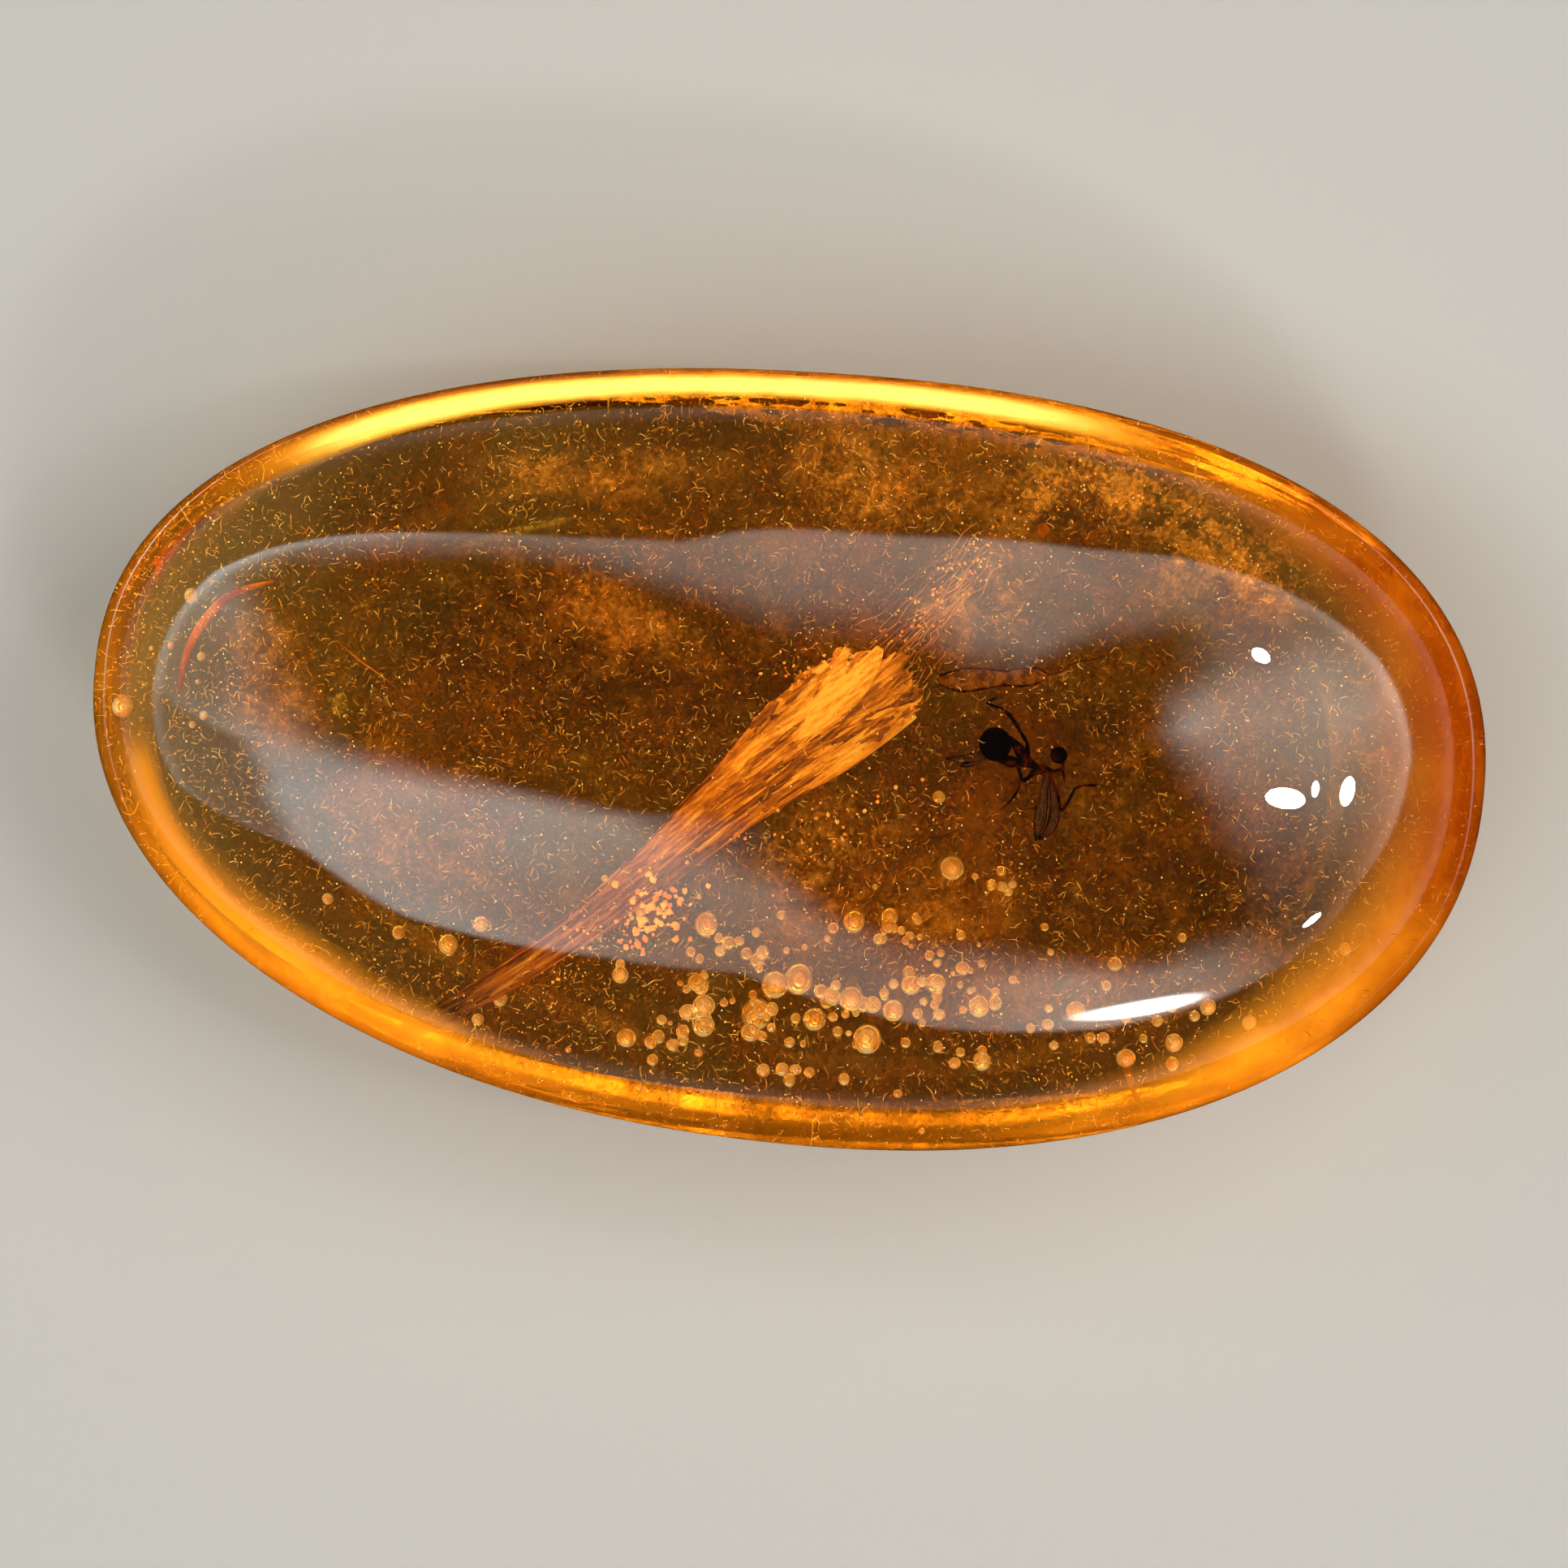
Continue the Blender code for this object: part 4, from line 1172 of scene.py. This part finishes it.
# %% Glowing rind
RIND_DEPTH, RIND_FADE = 0.18 * MM, 1.5 * MM
RIND_OUTER, LEAST_FADE = 0.95, 0.004
RIND_ROWS = (   # compass angle, how strong, share of the reach where it starts, tone
    (-180, 0.2, 0.88, 0.95), (-165, 0.22, 0.88, 0.85), (-152, 0.45, 0.85, 0.66), (-138, 0.9, 0.83, 0.56),
    (-120, 0.75, 0.84, 0.46), (-105, 0.35, 0.87, 0.4), (-90, 0.12, 0.88, 0.36), (-72, 0.22, 0.87, 0.36),
    (-58, 0.6, 0.85, 0.4), (-42, 0.95, 0.82, 0.46), (-26, 0.95, 0.79, 0.28), (-8, 0.95, 0.78, 0.06),
    (15, 0.95, 0.79, 0.0), (35, 0.85, 0.82, 0.04), (55, 0.6, 0.86, 0.2), (75, 0.45, 0.9, 0.3),
    (100, 0.45, 0.92, 0.3), (125, 0.5, 0.93, 0.3), (140, 0.35, 0.92, 0.45), (152, 0.15, 0.88, 0.9),
    (165, 0.18, 0.86, 1.0), (180, 0.3, 0.86, 0.95),
)
RIND_TONES = ((0.0, (0.36, 0.058, 0.001)), (0.5, (1.0, 0.4, 0.015)), (1.0, (0.42, 0.23, 0.05)))


def soft_step(value, low, high):
    share = min(max((value - low) / (high - low), 0.0), 1.0)
    return share * share * (3 - 2 * share)


def rind_material():
    material, start = new_material("glowing_rind")
    uneven = start.place().lumps(1.8, 3)
    colour = (start.attribute("tone") + (uneven - 0.5) * 0.3).ramp(RIND_TONES)
    finish_sealed(start, colour, 0.6, 0.5, start.attribute("fade") * (uneven * 0.5 + 0.62) * 0.85)
    return material


bm = pebble_mesh()
bm.normal_update()
fade = bm.verts.layers.float.new("fade")
tone = bm.verts.layers.float.new("tone")
angles, covers, inners, tones = zip(*RIND_ROWS)
hidden = []
for vert in bm.verts:
    angle = math.degrees(math.atan2(vert.co.y / HALF_WIDTH, vert.co.x / HALF_LENGTH))
    reach = reach_at(vert.co.x, vert.co.y)
    upper = min(max((vert.co.z - GIRDLE_HEIGHT) / RIND_FADE + 1, 0.0), 1.0)
    vert[fade] = soft_step(reach, np.interp(angle, angles, inners), RIND_OUTER) * upper
    vert[fade] *= np.interp(angle, angles, covers)
    vert[tone] = np.interp(angle, angles, tones) * (1 - 0.5 * soft_step(reach, 0.93, 1.0))
    if vert[fade] < LEAST_FADE:
        hidden.append(vert)
for vert in bm.verts:
    vert.co -= vert.normal * RIND_DEPTH
bmesh.ops.delete(bm, geom=hidden, context="VERTS")
add_piece(bm, "glowing_rind", rind_material())

# %% [markdown]
# Where the rim is polished thinnest it gathers light in a bright yellow band, from the upper left to the top,
# and in a duller one at the left. Both bands are painted light: each is a glowing grid bent along the outline,
# just under the surface, whose "fade" value falls to nothing at both edges and both ends.

# %% Rim bands
PAINTED_RIM_LIGHTS = (   # name, first and last compass angle, inner and outer share of the reach, colours, glow
    ("painted_rim_light", 147, 58, 0.902, 0.978, (1.0, 0.48, 0.03, 1), (1.0, 0.78, 0.18, 1), 0.85),
    ("painted_left_rim_light", 184, 230, 0.895, 0.96, (0.36, 0.15, 0.01, 1), (0.5, 0.23, 0.014, 1), 0.1),
)
BAND_DEPTH, BAND_TAPER = 0.28 * MM, 0.22


# Film of painted rim light, glowing in its two colours.
def rim_light_material(name, dark, pale, glow):
    material, start = new_material(name)
    fade, uneven = start.attribute("fade"), start.place().lumps(0.9, 3)
    colour = (fade * 0.7 + uneven * 0.3).step(0.25, 0.75).mix(dark, pale)
    finish_sealed(start, colour, 0.5, glow, fade * (uneven * 0.4 + 0.75))
    return material


for name, first, last, inner, outer, dark, pale, glow in PAINTED_RIM_LIGHTS:
    bm = bmesh.new()
    bmesh.ops.create_grid(bm, x_segments=96, y_segments=12, size=1.0)
    fade = bm.verts.layers.float.new("fade")
    for vert in bm.verts:
        along, across = vert.co.x * 0.5 + 0.5, vert.co.y
        x, y = outline_place(math.radians(first + (last - first) * along),
                             inner + (outer - inner) * (across * 0.5 + 0.5))
        vert.co = (x, y, stone_span(x, y)[1] - BAND_DEPTH)
        vert[fade] = (1 - across * across) ** 1.2 * soft_step(min(along, 1 - along), 0.0, BAND_TAPER)
    add_piece(bm, name, rim_light_material(name, dark, pale, glow))

# %% [markdown]
# Some sealed things are single and listed one by one: an orange arc at the left end, a bright fibre, a trail of
# resin at the lower right, a yellow grain, and the plume of fine fibres that runs on from the splinter's
# torn end. All are lofts whose rows are placed where they are seen.

# %% Streaks and plume
STREAKS = (   # height, then rows seen at x and y with a half width
    (5.6, ((-13.6, 3.35, 0.03), (-14.3, 3.1, 0.08), (-14.9, 2.7, 0.12), (-15.4, 2.0, 0.12),
           (-15.7, 1.2, 0.1), (-15.8, 0.2, 0.03))),
    (6.4, ((-11.85, 1.96, 0.012), (-11.2, 1.5, 0.02), (-10.6, 1.15, 0.018), (-10.17, 0.84, 0.008))),
    (4.6, ((9.4, -6.99, 0.05), (9.5, -7.4, 0.09), (9.63, -7.75, 0.06), (9.85, -8.1, 0.08),
           (10.04, -8.32, 0.03))),
    (5.0, ((5.95, 6.4, 0.1), (6.08, 6.4, 0.17), (6.25, 6.38, 0.06))),
)
PLUME_FOOT, PLUME_TIP = Vector((2.3, 2.6)), Vector((5.4, 6.6))
PLUME_FIBRES, PLUME_ROWS = 64, 8
plume_random = random.Random(8)

bm = bmesh.new()
for height, rows in STREAKS:
    fine = smooth_rows(rows, 6)
    add_loft(bm, [(*(sealed_place(x, y, height) / MM), half, half * 0.35) for x, y, half in fine])
# The resin's faint glow is painted light.
resin = dust_material("orange_resin", (0.26, 0.065, 0.004, 1), (0.52, 0.18, 0.012, 1), 0.05)
add_piece(bm, "orange_streaks", resin)

bm = bmesh.new()
ahead = (PLUME_TIP - PLUME_FOOT).normalized()
aside = Vector((-ahead.y, ahead.x))
reach = (PLUME_TIP - PLUME_FOOT).length
for _ in range(PLUME_FIBRES):
    seed = plume_random.uniform(0, 100)
    begin = plume_random.uniform(-0.1, 0.75) ** 2
    length = plume_random.uniform(0.1, 0.34)
    spread = plume_random.gauss(0, 0.55) * (1.1 - 0.5 * begin)
    rows = []
    for index in range(PLUME_ROWS):
        share = index / (PLUME_ROWS - 1)
        t = begin + length * index / (PLUME_ROWS - 1)
        drift = spread * (1 - 0.35 * t) + 0.22 * noise.noise(Vector((seed, t * 7, 0)))
        seen = PLUME_FOOT + ahead * (reach * t) + aside * drift
        thick = plume_random.uniform(0.004, 0.009) * min(1.0, 6 * (1 - share) + 0.2)
        rows.append((*(sealed_place(seen.x, seen.y, 5.9 + 0.3 * t) / MM), thick, thick))
    add_loft(bm, rows, 4)
# The fibres' glow is painted light.
fibre = dust_material("plume_fibre", (0.5, 0.17, 0.015, 1), (0.9, 0.48, 0.12, 1), 0.18)
add_piece(bm, "fibre_plume", fibre)

# %% [markdown]
# Crumbs of resin and bark gather in three places: along the plume, in a bright cluster under the splinter,
# and at the foot of the torn end. They are larger than the dust, and more orange.

# %% Orange crumbs
CRUMB_HEAPS = (   # seen at x and y, spread along and across, turn in degrees, count, scale, height
    (3.6, 4.6, 1.7, 0.3, 50, 110, (0.8, 2.6), 6.0), (-3.2, -4.3, 0.55, 0.4, 60, 90, (1.5, 6.0), 5.9),
    (-4.6, -5.2, 1.1, 0.3, 35, 50, (1.0, 3.0), 5.6), (1.0, 2.4, 1.0, 0.25, 10, 50, (1.0, 3.0), 6.4),
    (1.0, -1.9, 1.2, 0.6, 35, 50, (1.0, 3.5), 6.2), (8.2, 7.6, 1.6, 0.5, 6, 60, (0.8, 2.5), 6.0),
)
matrices = []
for x, y, along, across, turn, count, sizes, height in CRUMB_HEAPS:
    lean = Matrix.Rotation(math.radians(turn), 2)
    for _ in range(count):
        shift = lean @ Vector((dust_random.gauss(0, along), dust_random.gauss(0, across)))
        place = sealed_place(x + shift.x, y + shift.y, height + dust_random.gauss(0, 0.25))
        size = dust_random.uniform(*sizes)
        matrices.append(random_matrix(place, lambda: size))
# The crumbs' glow is painted light.
orange = dust_material("orange_crumb", (0.85, 0.28, 0.02, 1), (1.0, 0.58, 0.16, 1), 0.45)
add_scattered("orange_crumbs", crumbs, matrices, orange)

# %% [markdown]
# Close under the polished rim lie short dark red cracks and flecks. They are copies of the curled hairs in
# a dark finish, kept to the outer band of the stone.

# %% Rim flecks
FLECK_COUNT = 90
FLECK_ANGLES = ((80, 25), (-40, 18), (-110, 20))     # middle and spread of three stretches of the rim
matrices = []
for _ in range(FLECK_COUNT):
    angle = dust_random.choice([dust_random.gauss(*stretch) for stretch in FLECK_ANGLES])
    x, y = outline_place(math.radians(angle), dust_random.uniform(0.9, DUST_REACH))
    place = Vector((x, y, stone_span(x, y)[1] - dust_random.uniform(0.1, 0.3) * MM))
    matrices.append(random_matrix(place, lambda: dust_random.uniform(0.5, 1.3)))
fleck = dust_material("dark_fleck", (0.1, 0.015, 0.004, 1), (0.3, 0.05, 0.01, 1), 0.0)
add_scattered("rim_flecks", hairs, matrices, fleck)
